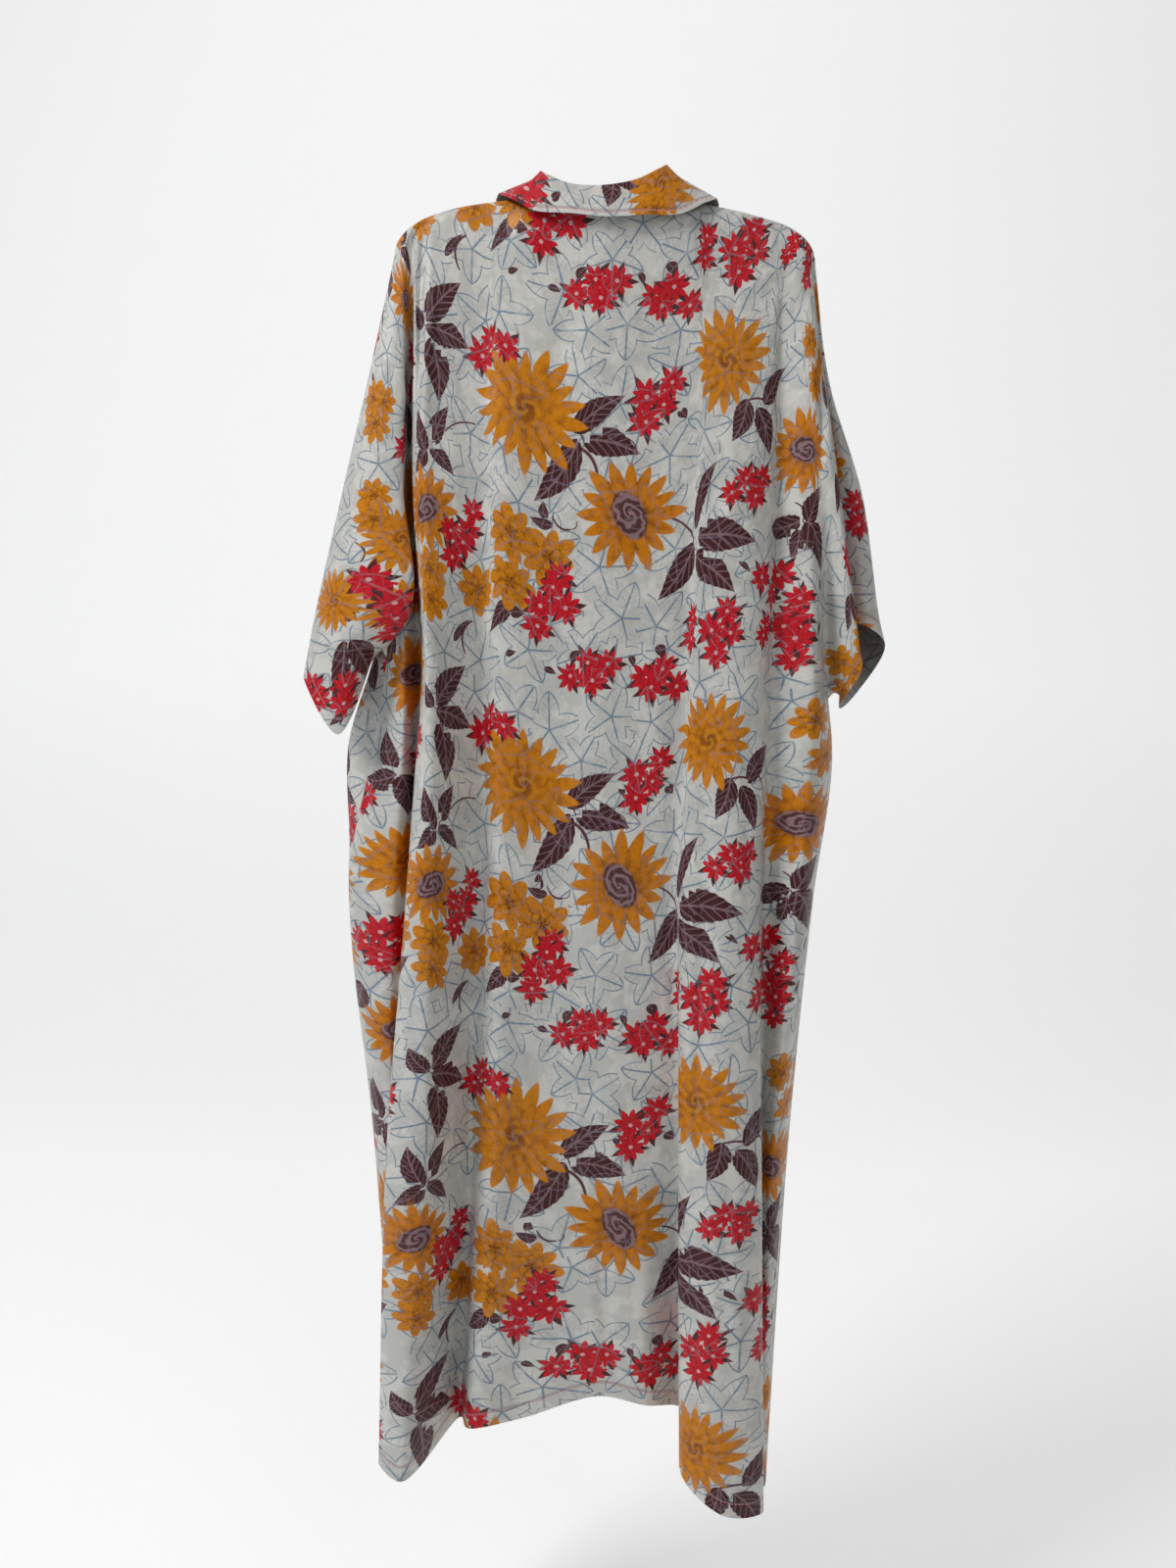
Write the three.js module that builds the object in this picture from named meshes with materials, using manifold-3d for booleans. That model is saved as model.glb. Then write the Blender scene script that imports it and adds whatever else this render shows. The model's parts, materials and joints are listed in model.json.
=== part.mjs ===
// A long loose kaftan in thin printed satin, hanging hollow by its shoulders.
// Millimetres, +Z up. The origin is in the middle of the neck, level with the shoulder seams. The garment's
// back faces -Y, its front faces +Y, and the wearer's right is at +X.
import * as THREE from "three";
import Module from "manifold-3d";

const wasm = await Module();
wasm.setup();

// Cloth and seams
const CLOTH = 1.2; // a wall of cloth, thicker than the silk-weight satin of the real one
const SEAM_PARTING = 0.18; // each panel stops this far short of a shared seam
const LYING_GAP = 0.3; // between a piece and the panel it lies on

// Neck and shoulders
const NECK_HALF_WIDTH = 80;
const BACK_NECK = { depth: -30, drop: 12 };
const FRONT_NECK = { depth: 42, drop: 74 };
const SHOULDER_ROUNDING = 60; // the cloth bends over the shoulder within this height

// Rows of the grid, from the shoulder line down
const UNDERARM_ROW = 13;
const CUFF_ROW = UNDERARM_ROW + 3;
const HEM_ROW = UNDERARM_ROW + 16;
const TOP_CROWDING = 1.7; // the rows crowd towards the shoulder by this power
const TOP_DRAWN_ROWS = 6; // rows that follow the first one onto the neck's edge
const ARCH_STEPS = 3; // columns across the rounded underarm
const ARCH_RISE = 5;
const ARCH_ROUNDING = 10; // the last row above the underarm lies this far over it
const ARCH_FULLNESS = { depth: 8, height: 120 }; // each panel stands off the seam there, up to this height

// Front opening, buttons and collar
const SLIT_HALF = 1.5;
const PLACKET_HALF_WIDTH = 15;
const PLACKET_LAST_ROW = 9;
const BUTTON = { radius: 5.75, thickness: 2.4, rim: 1.3, hole: 0.9, holeSpread: 1.7 };
const BUTTON_ROWS = [5.2, 6.7, 8.2];

// Height of the shoulder seam at some places out from the neck
const SHOULDER_LINE = [
  { out: 0, height: 2 },
  { out: 80, height: 1 },
  { out: 116, height: -4 },
  { out: 150, height: -11 },
  { out: 180, height: -20 },
  { out: 196, height: -28 },
  { out: 206, height: -36 },
];

// Heights at which the fold tables give each fold's place across (x) and its depth (back -, front +).
// The last place in a row belongs to the lower edge, whose own height is given in that row.
const BODY_HEIGHTS = [-60, -300, -490, -600, -750, -1050];
const SLEEVE_HEIGHTS = [-60, -180, -300, -430];

// Folds of the body's back, from the left side seam to the right one.
// top: x on the shoulder line; hem: height of the hem there; steps: grid columns to the next fold.
const BACK_FOLDS = [
  {
    fold: "left side seam", top: -183, hem: -1424, steps: 2,
    x: [-212, -211, -232, -250, -276, -247, -216],
    depth: [-17, -36, -3, 5, 8, 8, 0],
  },
  {
    fold: "left side valley", top: -178, hem: -1420, steps: 2,
    x: [-210, -210, -221, -232, -248, -238, -219],
    depth: [-16, -26, -12, -15, -26, -26, -25],
  },
  {
    fold: "left side ridge", top: -173, hem: -1416, steps: 2,
    x: [-208, -209, -210, -211, -220, -226, -223],
    depth: [-15, -17, -30, -36, -37, -40, -45],
  },
  {
    fold: "left slit", top: -167, hem: -1412, steps: 3,
    x: [-205, -204, -197, -200, -207, -219, -221],
    depth: [-14, -10, -8, -12, -22, -46, -60],
  },
  {
    fold: "left fold edge", top: -158, hem: -1406, steps: 2,
    x: [-200, -198, -184, -190, -200, -221, -229],
    depth: [-18, -50, -70, -73, -75, -84, -84],
  },
  {
    fold: "left flute", top: -142, hem: -1412, steps: 4,
    x: [-188, -187, -178, -175, -175, -184, -200],
    depth: [-21, -62, -84, -89, -92, -104, -110],
  },
  {
    fold: "left valley", top: -106, hem: -1388, steps: 2,
    x: [-128, -126, -125, -125, -125, -133, -143],
    depth: [-21, -47, -50, -46, -42, -34, -16],
  },
  {
    fold: "panel left edge", top: -NECK_HALF_WIDTH, hem: -1367, steps: 2,
    x: [-108, -107, -104, -103, -101, -107, -125],
    depth: [-23, -54, -62, -63, -64, -69, -74],
  },
  {
    fold: "panel left half", top: -46, hem: -1361, steps: 2,
    x: [-52, -52, -50, -50, -50, -52, -64],
    depth: [-28, -52, -57, -57, -57, -56, -58],
  },
  {
    fold: "centre back", top: 0, hem: -1337, steps: 2,
    x: [0, 0, 0, 0, 0, 4, 20],
    depth: [-33, -55, -61, -60, -59, -55, -50],
  },
  {
    fold: "panel right half", top: 46, hem: -1347, steps: 2,
    x: [52, 52, 52, 52, 52, 58, 76],
    depth: [-28, -52, -57, -57, -56, -53, -50],
  },
  {
    fold: "panel right edge", top: NECK_HALF_WIDTH, hem: -1366, steps: 2,
    x: [98, 98, 96, 95, 92, 110, 121],
    depth: [-23, -50, -55, -54, -52, -42, -24],
  },
  {
    fold: "right fold edge", top: 96, hem: -1403, steps: 3,
    x: [108, 108, 106, 104, 100, 105, 117],
    depth: [-22, -52, -60, -62, -66, -85, -98],
  },
  {
    fold: "right flute", top: 135, hem: -1435, steps: 3,
    x: [150, 150, 150, 149, 147, 153, 162],
    depth: [-20, -56, -68, -75, -84, -110, -124],
  },
  {
    fold: "flute outer edge", top: 154, hem: -1450, steps: 2,
    x: [178, 179, 178, 178, 181, 194, 211],
    depth: [-17, -46, -57, -62, -70, -84, -96],
  },
  {
    fold: "right valley", top: 163, hem: -1458, steps: 3,
    x: [188, 190, 192, 193, 194, 199, 213],
    depth: [-16, -34, -39, -38, -36, -28, -44],
  },
  {
    fold: "right ridge", top: 172, hem: -1460, steps: 2,
    x: [201, 221, 233, 234, 227, 213, 222],
    depth: [-17, -46, -58, -60, -60, -46, -26],
  },
  {
    fold: "right side seam", top: 179, hem: -1458, steps: 0,
    x: [207, 238, 252, 266, 252, 236, 226],
    depth: [-17, -44, -10, 4, 5, 6, 0],
  },
];

// Folds of the body's front. Below the arms its two side seams are those of the back.
const PLACKET_DEPTH = [40, 52, 57, 58, 58, 58, 56];
const straightDown = (x) => Array(BODY_HEIGHTS.length + 1).fill(x);
const FRONT_FOLDS = [
  {
    fold: "left side seam", top: -183, hem: -1424, steps: 3,
    x: [-211, -216, -232, -250, -276, -247, -216],
    depth: [16, 22, -3, 5, 8, 8, 0],
  },
  {
    fold: "left side flute", top: -172, hem: -1426, steps: 3,
    x: [-202, -208, -250, -281, -272, -244, -222],
    depth: [17, 38, 26, 34, 46, 54, 62],
  },
  {
    fold: "left front flute", top: -150, hem: -1424, steps: 3,
    x: [-178, -182, -198, -208, -206, -200, -196],
    depth: [18, 52, 58, 62, 68, 80, 92],
  },
  {
    fold: "left front valley", top: -112, hem: -1392, steps: 3,
    x: [-128, -132, -138, -140, -142, -142, -142],
    depth: [20, 40, 40, 40, 40, 42, 40],
  },
  {
    fold: "left front panel", top: -NECK_HALF_WIDTH, hem: -1392, steps: 5,
    x: [-86, -84, -84, -84, -86, -92, -96],
    depth: [26, 50, 56, 58, 62, 70, 78],
  },
  {
    fold: "left of placket", top: -17, hem: -1372, steps: 1,
    x: straightDown(-17),
    depth: PLACKET_DEPTH,
  },
  {
    fold: "slit left edge", top: -SLIT_HALF, hem: -1371, steps: 1,
    x: straightDown(-SLIT_HALF),
    depth: PLACKET_DEPTH,
  },
  {
    fold: "slit right edge", top: SLIT_HALF, hem: -1371, steps: 1,
    x: straightDown(SLIT_HALF),
    depth: PLACKET_DEPTH,
  },
  {
    fold: "right of placket", top: 17, hem: -1372, steps: 5,
    x: straightDown(17),
    depth: PLACKET_DEPTH,
  },
  {
    fold: "right front panel", top: NECK_HALF_WIDTH, hem: -1394, steps: 3,
    x: [86, 86, 88, 88, 90, 98, 104],
    depth: [26, 50, 56, 58, 60, 66, 72],
  },
  {
    fold: "right front valley", top: 112, hem: -1398, steps: 3,
    x: [128, 134, 140, 142, 142, 144, 148],
    depth: [20, 40, 42, 42, 42, 44, 40],
  },
  {
    fold: "right front flute", top: 146, hem: -1440, steps: 3,
    x: [178, 190, 200, 204, 204, 202, 204],
    depth: [18, 52, 58, 62, 70, 84, 96],
  },
  {
    fold: "right side flute", top: 166, hem: -1448, steps: 3,
    x: [200, 226, 238, 254, 246, 232, 230],
    depth: [17, 38, 38, 40, 48, 52, 58],
  },
  {
    fold: "right side seam", top: 179, hem: -1458, steps: 0,
    x: [208, 242, 252, 266, 252, 236, 226],
    depth: [16, 24, -10, 4, 5, 6, 0],
  },
];

// Folds of the two sleeves, each from the shoulder seam that runs along its top to the fold at the underarm.
// middle: height at the underarm row; cuff: height of the cuff there. The last place belongs to the cuff.
const LEFT_SLEEVE_BACK = [
  {
    fold: "sleeve top seam", top: -206, middle: -462, cuff: -512, steps: 3,
    x: [-225, -251, -279, -309, -325],
    depth: [0, 0, 0, 0, 0],
  },
  {
    fold: "sleeve crest", top: -198, middle: -470, cuff: -571, steps: 3,
    x: [-220, -234, -250, -264, -280],
    depth: [-11, -34, -46, -52, -40],
  },
  {
    fold: "sleeve lip", top: -190, middle: -482, cuff: -493, steps: ARCH_STEPS,
    x: [-215, -212, -211, -199, -249],
    depth: [-16, -36, -50, -54, -13],
  },
];
const LEFT_SLEEVE_FRONT = [
  LEFT_SLEEVE_BACK[0],
  {
    fold: "sleeve front", top: -198, middle: -470, cuff: -556, steps: 3,
    x: [-220, -234, -254, -278, -292],
    depth: [11, 30, 42, 48, 46],
  },
  {
    fold: "sleeve lip", top: -190, middle: -482, cuff: -493, steps: ARCH_STEPS,
    x: [-214, -219, -228, -239, -249],
    depth: [15, 24, 30, 18, -13],
  },
];
const RIGHT_SLEEVE_BACK = [
  {
    fold: "sleeve top seam", top: 206, middle: -440, cuff: -463, steps: 2,
    x: [222, 242, 284, 309, 318],
    depth: [0, 0, 0, 0, 0],
  },
  {
    fold: "sleeve outer part", top: 202, middle: -426, cuff: -444, steps: 2,
    x: [220, 239, 272, 292, 298],
    depth: [-8, -12, -20, -22, -16],
  },
  {
    fold: "sleeve inner crease", top: 198, middle: -422, cuff: -440, steps: 2,
    x: [218, 233, 252, 270, 279],
    depth: [-11, -7, -8, -8, -6],
  },
  {
    fold: "sleeve fold edge", top: 193, middle: -462, cuff: -484, steps: 2,
    x: [215, 234, 254, 276, 286],
    depth: [-14, -28, -42, -50, -46],
  },
  {
    fold: "sleeve lip", top: 186, middle: -518, cuff: -530, steps: ARCH_STEPS,
    x: [211, 228, 245, 264, 268],
    depth: [-16, -32, -46, -46, -14],
  },
];
const RIGHT_SLEEVE_FRONT = [
  RIGHT_SLEEVE_BACK[0],
  {
    fold: "sleeve front", top: 196, middle: -470, cuff: -520, steps: 3,
    x: [217, 234, 260, 284, 298],
    depth: [11, 28, 40, 48, 48],
  },
  {
    fold: "sleeve lip", top: 186, middle: -518, cuff: -530, steps: ARCH_STEPS,
    x: [212, 230, 250, 266, 268],
    depth: [14, 24, 32, 24, -14],
  },
];
const LEFT_UNDERARM = { x: -232, height: -490 };
const RIGHT_UNDERARM = { x: 252, height: -524 };

// The collar, from the middle of the back round to the front end on one side; the other side mirrors it.
// turn: degrees round the neck; fold: the top, where the stand turns down into the leaf; edge: the leaf's
// lower edge. The stand itself rises from the neck's edge, with a column of the grid at each of its points.
const COLLAR_STATIONS = [
  { place: "centre back", turn: 0, fold: [0, -24, 8], edge: [0, -44, -24] },
  { place: "back", turn: 25, fold: [33, -22, 12], edge: [38, -42, -21] },
  { place: "side back", turn: 52, fold: [58, -14, 24], edge: [76, -35, -18] },
  { place: "neck point", turn: 88, fold: [64, 0, 26], edge: [114, -10, 3] },
  { place: "side front", turn: 122, fold: [49, 20, -9], edge: [116, 26, -12] },
  { place: "front", turn: 148, fold: [32, 38, -40], edge: [96, 44, -64] },
  { place: "front end", turn: 179, fold: [8, 46, -52], edge: [62, 52, -112] },
];
const COLLAR_FOLD_RADIUS = 2.2;
const COLLAR_SEAM_LIFT = 0.8; // the stand starts this far over the neck's edge
const COLLAR_LONGEST_STEP = 30; // a longer step along the neck's edge is halved
const COLLAR_LEAN = { left: 5, tilt: 0.07 }; // the fold leans to the left and stands higher on the right

const PRINT_GROUND = 0xdfe3e4;
const BUTTON_COLOUR = 0xe8e6e0;

// A smooth value between the knots of a table, flat past its ends
function smoothValue(knots, values, at) {
  const last = knots.length - 1;
  const descending = knots[0] > knots[last];
  const place = descending ? -at : at;
  const keys = descending ? knots.map((k) => -k) : knots;
  if (place <= keys[0]) return values[0];
  if (place >= keys[last]) return values[last];
  let n = 0;
  while (place > keys[n + 1]) n++;
  const span = keys[n + 1] - keys[n];
  const t = (place - keys[n]) / span;
  const slope = (k) => {
    const a = Math.max(0, k - 1);
    const b = Math.min(last, k + 1);
    return ((values[b] - values[a]) / (keys[b] - keys[a])) * span;
  };
  const tt = t * t;
  const ttt = tt * t;
  return (
    (2 * ttt - 3 * tt + 1) * values[n] +
    (ttt - 2 * tt + t) * slope(n) +
    (3 * tt - 2 * ttt) * values[n + 1] +
    (ttt - tt) * slope(n + 1)
  );
}

function shoulderHeight(x) {
  const out = SHOULDER_LINE.map((row) => row.out);
  const heights = SHOULDER_LINE.map((row) => row.height);
  return smoothValue(out, heights, Math.abs(x));
}

// The point where a fold starts, on the shoulder seam or on the edge of the neck
function topPoint(x, neck) {
  const across = Math.abs(x) / NECK_HALF_WIDTH;
  if (across >= 1) return new THREE.Vector3(x, 0, shoulderHeight(x));
  const round = Math.sqrt(1 - across * across);
  const edge = shoulderHeight(NECK_HALF_WIDTH);
  return new THREE.Vector3(x, neck.depth * round, edge - neck.drop * round);
}

// The height of the underarm row at a place across the body
function underarmHeight(x) {
  const share = (x - LEFT_UNDERARM.x) / (RIGHT_UNDERARM.x - LEFT_UNDERARM.x);
  const between = THREE.MathUtils.clamp(share, 0, 1);
  return THREE.MathUtils.lerp(LEFT_UNDERARM.height, RIGHT_UNDERARM.height, between);
}

// The height of a row of the grid on a fold. The rows crowd at the shoulder, and one lies close over the
// underarm.
function rowHeight(j, top, middle, lowerEdge, lastRow) {
  if (j < UNDERARM_ROW) {
    const share = Math.pow(j / (UNDERARM_ROW - 1), TOP_CROWDING);
    return THREE.MathUtils.lerp(top, middle + ARCH_ROUNDING, share);
  }
  return THREE.MathUtils.lerp(middle, lowerEdge, (j - UNDERARM_ROW) / (lastRow - UNDERARM_ROW));
}

// A fold's point in each row of the grid. The knots are the table's heights and the lower edge.
function foldLine(row, heights, neck, lowerEdge, middle, lastRow) {
  const top = topPoint(row.top, neck);
  const knots = [...heights, lowerEdge];
  const rounded = Math.min(SHOULDER_ROUNDING, top.z - heights[0]);
  return (j) => {
    const z = rowHeight(j, top.z, middle, lowerEdge, lastRow);
    const fromTop = THREE.MathUtils.clamp((top.z - z) / rounded, 0, 1);
    const bend = Math.sqrt(1 - (1 - fromTop) ** 2);
    const x = THREE.MathUtils.lerp(top.x, smoothValue(knots, row.x, z), bend);
    const y = THREE.MathUtils.lerp(top.y, smoothValue(knots, row.depth, z), bend);
    return new THREE.Vector3(x, y, z);
  };
}

// A fold that meets the underarm: above it, the panel stands off the seam towards its own side
function fullLine(line, side) {
  return (j) => {
    const point = line(j);
    if (j >= UNDERARM_ROW) return point;
    const over = point.z - line(UNDERARM_ROW).z;
    const near = THREE.MathUtils.clamp(1 - over / ARCH_FULLNESS.height, 0, 1);
    point.y += side * ARCH_FULLNESS.depth * near;
    return point;
  };
}

const bodyLine = (row, neck) =>
  foldLine(row, BODY_HEIGHTS, neck, row.hem, underarmHeight(row.x[2]), HEM_ROW);
const sleeveLine = (row, neck) =>
  foldLine(row, SLEEVE_HEIGHTS, neck, row.cuff, row.middle, CUFF_ROW);

// The points between the folds of one row: a smooth curve through the folds, with its two neighbours outside
function curveThrough(points, steps, before, after) {
  const curve = new THREE.CatmullRomCurve3([before, ...points, after], false, "centripetal");
  const spans = points.length + 1;
  const samples = [points[0].clone()];
  for (let n = 0; n < points.length - 1; n++)
    for (let s = 1; s <= steps[n]; s++) samples.push(curve.getPoint((n + 1 + s / steps[n]) / spans));
  return samples;
}

// One panel of the body with its half of both sleeves, as a grid of points with holes where there is no cloth
function bodyPanel(leftRows, bodyRows, rightRows, neck, side, shared) {
  const left = leftRows.map((row) => sleeveLine(row, neck));
  const right = rightRows.map((row) => sleeveLine(row, neck)).reverse();
  const body = bodyRows.map((row) => bodyLine(row, neck));
  const rightSteps = rightRows.map((row) => row.steps).reverse();
  const steps = {
    left: leftRows.map((row) => row.steps),
    body: bodyRows.map((row) => row.steps),
    right: rightSteps,
  };
  const bodyStepCount = steps.body.slice(0, -1).reduce((a, b) => a + b, 0);
  const leftSleeveCount = steps.left.slice(0, -1).reduce((a, b) => a + b, 0);
  const rightSleeveCount = steps.right.slice(1).reduce((a, b) => a + b, 0);
  const columns = {
    leftLip: leftSleeveCount,
    leftSide: leftSleeveCount + ARCH_STEPS,
    rightSide: leftSleeveCount + ARCH_STEPS + bodyStepCount,
    rightLip: leftSleeveCount + 2 * ARCH_STEPS + bodyStepCount,
    last: leftSleeveCount + 2 * ARCH_STEPS + bodyStepCount + rightSleeveCount,
  };
  // The seams below the underarm are the same line in both panels
  const meeting = [
    { list: left, at: left.length - 1, common: shared?.leftLip },
    { list: body, at: 0, common: shared?.leftSide },
    { list: body, at: body.length - 1, common: shared?.rightSide },
    { list: right, at: 0, common: shared?.rightLip },
  ];
  for (const { list, at, common } of meeting) {
    const own = fullLine(list[at], side);
    list[at] = (j) => (common && j >= UNDERARM_ROW ? common(j) : own(j));
  }
  const lines = {
    leftLip: left[left.length - 1],
    leftSide: body[0],
    rightSide: body[body.length - 1],
    rightLip: right[0],
    leftInside: left[1],
    rightInside: right[right.length - 2],
    bodyLeftInside: body[1],
    bodyRightInside: body[body.length - 2],
  };
  return { left, body, right, steps, columns, lines, neck };
}

// A rounded arch of points from one seam to the other, under the arm
function archPoints(from, to) {
  const points = [];
  for (let s = 1; s < ARCH_STEPS; s++) {
    const share = s / ARCH_STEPS;
    const point = from.clone().lerp(to, share);
    point.z += ARCH_RISE * Math.sin(Math.PI * share);
    points.push(point);
  }
  return points;
}

// Brings the first row onto the shoulder seam and the edge of the neck, and the rows below it along
function drawToTop(grid, neck) {
  const shifts = grid[0].map((point) => topPoint(point.x, neck).sub(point));
  for (let j = 0; j < TOP_DRAWN_ROWS; j++) {
    const share = Math.pow(1 - j / TOP_DRAWN_ROWS, 1.5);
    grid[j].forEach((point, i) => point.addScaledVector(shifts[i], share));
  }
}

// All points of a panel, row by row. other gives the neighbouring folds of the panel across the seams.
function panelPoints(panel, other) {
  const { left, body, right, steps, columns } = panel;
  const grid = [];
  for (let j = 0; j <= HEM_ROW; j++) {
    const row = Array(columns.last + 1).fill(null);
    const place = (points, start) => points.forEach((point, n) => (row[start + n] = point));
    const outerLeft = other.lines.leftInside(Math.min(j, CUFF_ROW));
    const outerRight = other.lines.rightInside(Math.min(j, CUFF_ROW));
    if (j < UNDERARM_ROW) {
      const folds = [...left, ...body, ...right].map((line) => line(j));
      const all = [...steps.left, ...steps.body.slice(0, -1), ARCH_STEPS, ...steps.right.slice(1)];
      place(curveThrough(folds, all, outerLeft, outerRight), 0);
    } else {
      const bodyFolds = body.map((line) => line(j));
      const bodySteps = steps.body.slice(0, -1);
      const sideLeft = other.lines.bodyLeftInside(j);
      const sideRight = other.lines.bodyRightInside(j);
      place(curveThrough(bodyFolds, bodySteps, sideLeft, sideRight), columns.leftSide);
      if (j <= CUFF_ROW) {
        const leftFolds = left.map((line) => line(j));
        place(curveThrough(leftFolds, steps.left.slice(0, -1), outerLeft, outerLeft), 0);
        const rightFolds = right.map((line) => line(j));
        place(curveThrough(rightFolds, steps.right.slice(1), outerRight, outerRight), columns.rightLip);
      }
      if (j === UNDERARM_ROW) {
        place(archPoints(row[columns.leftLip], row[columns.leftSide]), columns.leftLip + 1);
        place(archPoints(row[columns.rightSide], row[columns.rightLip]), columns.rightSide + 1);
      }
    }
    grid.push(row);
  }
  drawToTop(grid, panel.neck);
  return grid;
}

// Whether two panels are sewn together at a point of the grid
function onSeam(columns, grid, i, j) {
  if (i === 0 || i === columns.last) return true;
  if (j === 0) return Math.abs(grid[0][i].x) >= NECK_HALF_WIDTH;
  if (j < UNDERARM_ROW) return false;
  if ([columns.leftLip, columns.leftSide, columns.rightSide, columns.rightLip].includes(i)) return true;
  const inLeftArch = i > columns.leftLip && i < columns.leftSide;
  const inRightArch = i > columns.rightSide && i < columns.rightLip;
  return j === UNDERARM_ROW && (inLeftArch || inRightArch);
}

// A closed wall of cloth on a grid of points. Cells without all four points are left open, and so are those
// that hasCell leaves out. side is -1 where the cloth's right side faces -Y and 1 where it faces +Y.
// A seam point keeps its wall square to the seam, and is drawn back from the seam towards its own panel.
function clothWall(grid, side, hasCell, isSeam) {
  const rows = grid.length - 1;
  const width = grid[0].length;
  const key = (i, j) => j * width + i;
  const cells = [];
  for (let j = 0; j < rows; j++)
    for (let i = 0; i < width - 1; i++) {
      const corners = [grid[j][i], grid[j + 1][i], grid[j + 1][i + 1], grid[j][i + 1]];
      if (corners.some((corner) => !corner) || !hasCell(i, j)) continue;
      const ring = [key(i, j), key(i, j + 1), key(i + 1, j + 1), key(i + 1, j)];
      cells.push(side < 0 ? ring : ring.reverse());
    }
  const pointOf = (k) => grid[Math.floor(k / width)][k % width];
  const normals = new Map();
  const edges = new Set();
  for (const ring of cells) {
    const [a, b, c, d] = ring.map(pointOf);
    const across = c.clone().sub(a);
    const normal = across.cross(d.clone().sub(b)).normalize();
    ring.forEach((k, n) => {
      if (!normals.has(k)) normals.set(k, new THREE.Vector3());
      normals.get(k).add(normal);
      edges.add(k + ">" + ring[(n + 1) % 4]);
    });
  }
  const border = [...edges]
    .map((edge) => edge.split(">").map(Number))
    .filter(([a, b]) => !edges.has(b + ">" + a));
  const next = new Map(border);
  const previous = new Map(border.map(([a, b]) => [b, a]));
  const sewn = (k) => isSeam(k % width, Math.floor(k / width));
  const outer = new Map();
  const inner = new Map();
  for (const [k, sum] of normals) {
    const normal = sum.clone().normalize();
    const point = pointOf(k).clone();
    if (sewn(k)) {
      const from = sewn(previous.get(k)) ? previous.get(k) : k;
      const to = sewn(next.get(k)) ? next.get(k) : k;
      const tangent = pointOf(to).clone().sub(pointOf(from));
      normal.copy(tangent.cross(new THREE.Vector3(0, side, 0))).setY(0).normalize();
      point.y += side * SEAM_PARTING;
    }
    outer.set(k, point.clone().addScaledVector(normal, CLOTH / 2));
    inner.set(k, point.clone().addScaledVector(normal, -CLOTH / 2));
  }
  const positions = [];
  const triangle = (...corners) => corners.forEach((corner) => positions.push(corner.x, corner.y, corner.z));
  const quad = (a, b, c, d) => {
    if (a.distanceTo(c) <= b.distanceTo(d)) {
      triangle(a, b, c);
      triangle(a, c, d);
    } else {
      triangle(a, b, d);
      triangle(b, c, d);
    }
  };
  for (const ring of cells) {
    quad(...ring.map((k) => outer.get(k)));
    quad(...ring.map((k) => inner.get(k)).reverse());
  }
  for (const [a, b] of border) quad(outer.get(b), outer.get(a), inner.get(a), inner.get(b));
  const geometry = new THREE.BufferGeometry();
  geometry.setAttribute("position", new THREE.Float32BufferAttribute(positions, 3));
  return geometry;
}

function clothMaterial() {
  return new THREE.MeshStandardMaterial({
    color: PRINT_GROUND,
    roughness: 0.42,
    metalness: 0,
    side: THREE.DoubleSide,
  });
}

function namedMesh(name, geometry, material) {
  geometry.computeVertexNormals();
  const mesh = new THREE.Mesh(geometry, material);
  mesh.name = name;
  return mesh;
}

const backPanel = bodyPanel(LEFT_SLEEVE_BACK, BACK_FOLDS, RIGHT_SLEEVE_BACK, BACK_NECK, -1, null);
const frontPanel = bodyPanel(
  LEFT_SLEEVE_FRONT,
  FRONT_FOLDS,
  RIGHT_SLEEVE_FRONT,
  FRONT_NECK,
  1,
  backPanel.lines,
);
const backGrid = panelPoints(backPanel, frontPanel);
const frontGrid = panelPoints(frontPanel, backPanel);

function makeBack() {
  const isSeam = (i, j) => onSeam(backPanel.columns, backGrid, i, j);
  const geometry = clothWall(backGrid, -1, () => true, isSeam);
  return namedMesh("back", geometry, clothMaterial());
}

// The grid column of the front at which the slit begins
function slitColumn() {
  return frontGrid[0].findIndex((point) => Math.abs(point.x + SLIT_HALF) < 1e-6);
}

function makeFront() {
  const slit = slitColumn();
  const isSeam = (i, j) => onSeam(frontPanel.columns, frontGrid, i, j);
  const hasCell = (i, j) => i !== slit || j >= PLACKET_LAST_ROW - 1;
  const geometry = clothWall(frontGrid, 1, hasCell, isSeam);
  return namedMesh("front", geometry, clothMaterial());
}

// The middle of the placket at a row of the front's grid, which may lie between two rows
function placketPoint(row, x, lift) {
  const slit = slitColumn();
  const upper = Math.floor(row);
  const from = frontGrid[upper][slit];
  const to = frontGrid[upper + 1][slit];
  const point = from.clone().lerp(to, row - upper);
  const down = to.clone().sub(from).normalize();
  const outward = new THREE.Vector3(0, -down.z, down.y);
  point.x = x;
  return { point: point.addScaledVector(outward, lift), outward };
}

// A band that covers the slit, laid on the front and moved out by both cloths' half thickness and a gap
function makePlacket() {
  const lift = CLOTH + LYING_GAP;
  const places = [-PLACKET_HALF_WIDTH, 0, PLACKET_HALF_WIDTH];
  const grid = [];
  for (let j = 0; j < PLACKET_LAST_ROW; j++)
    grid.push(places.map((x) => placketPoint(Math.max(j, 0.05), x, lift).point));
  grid.push(places.map((x) => placketPoint(PLACKET_LAST_ROW - 0.01, x, lift).point));
  const geometry = clothWall(grid, 1, () => true, () => false);
  return namedMesh("placket", geometry, clothMaterial());
}

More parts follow.
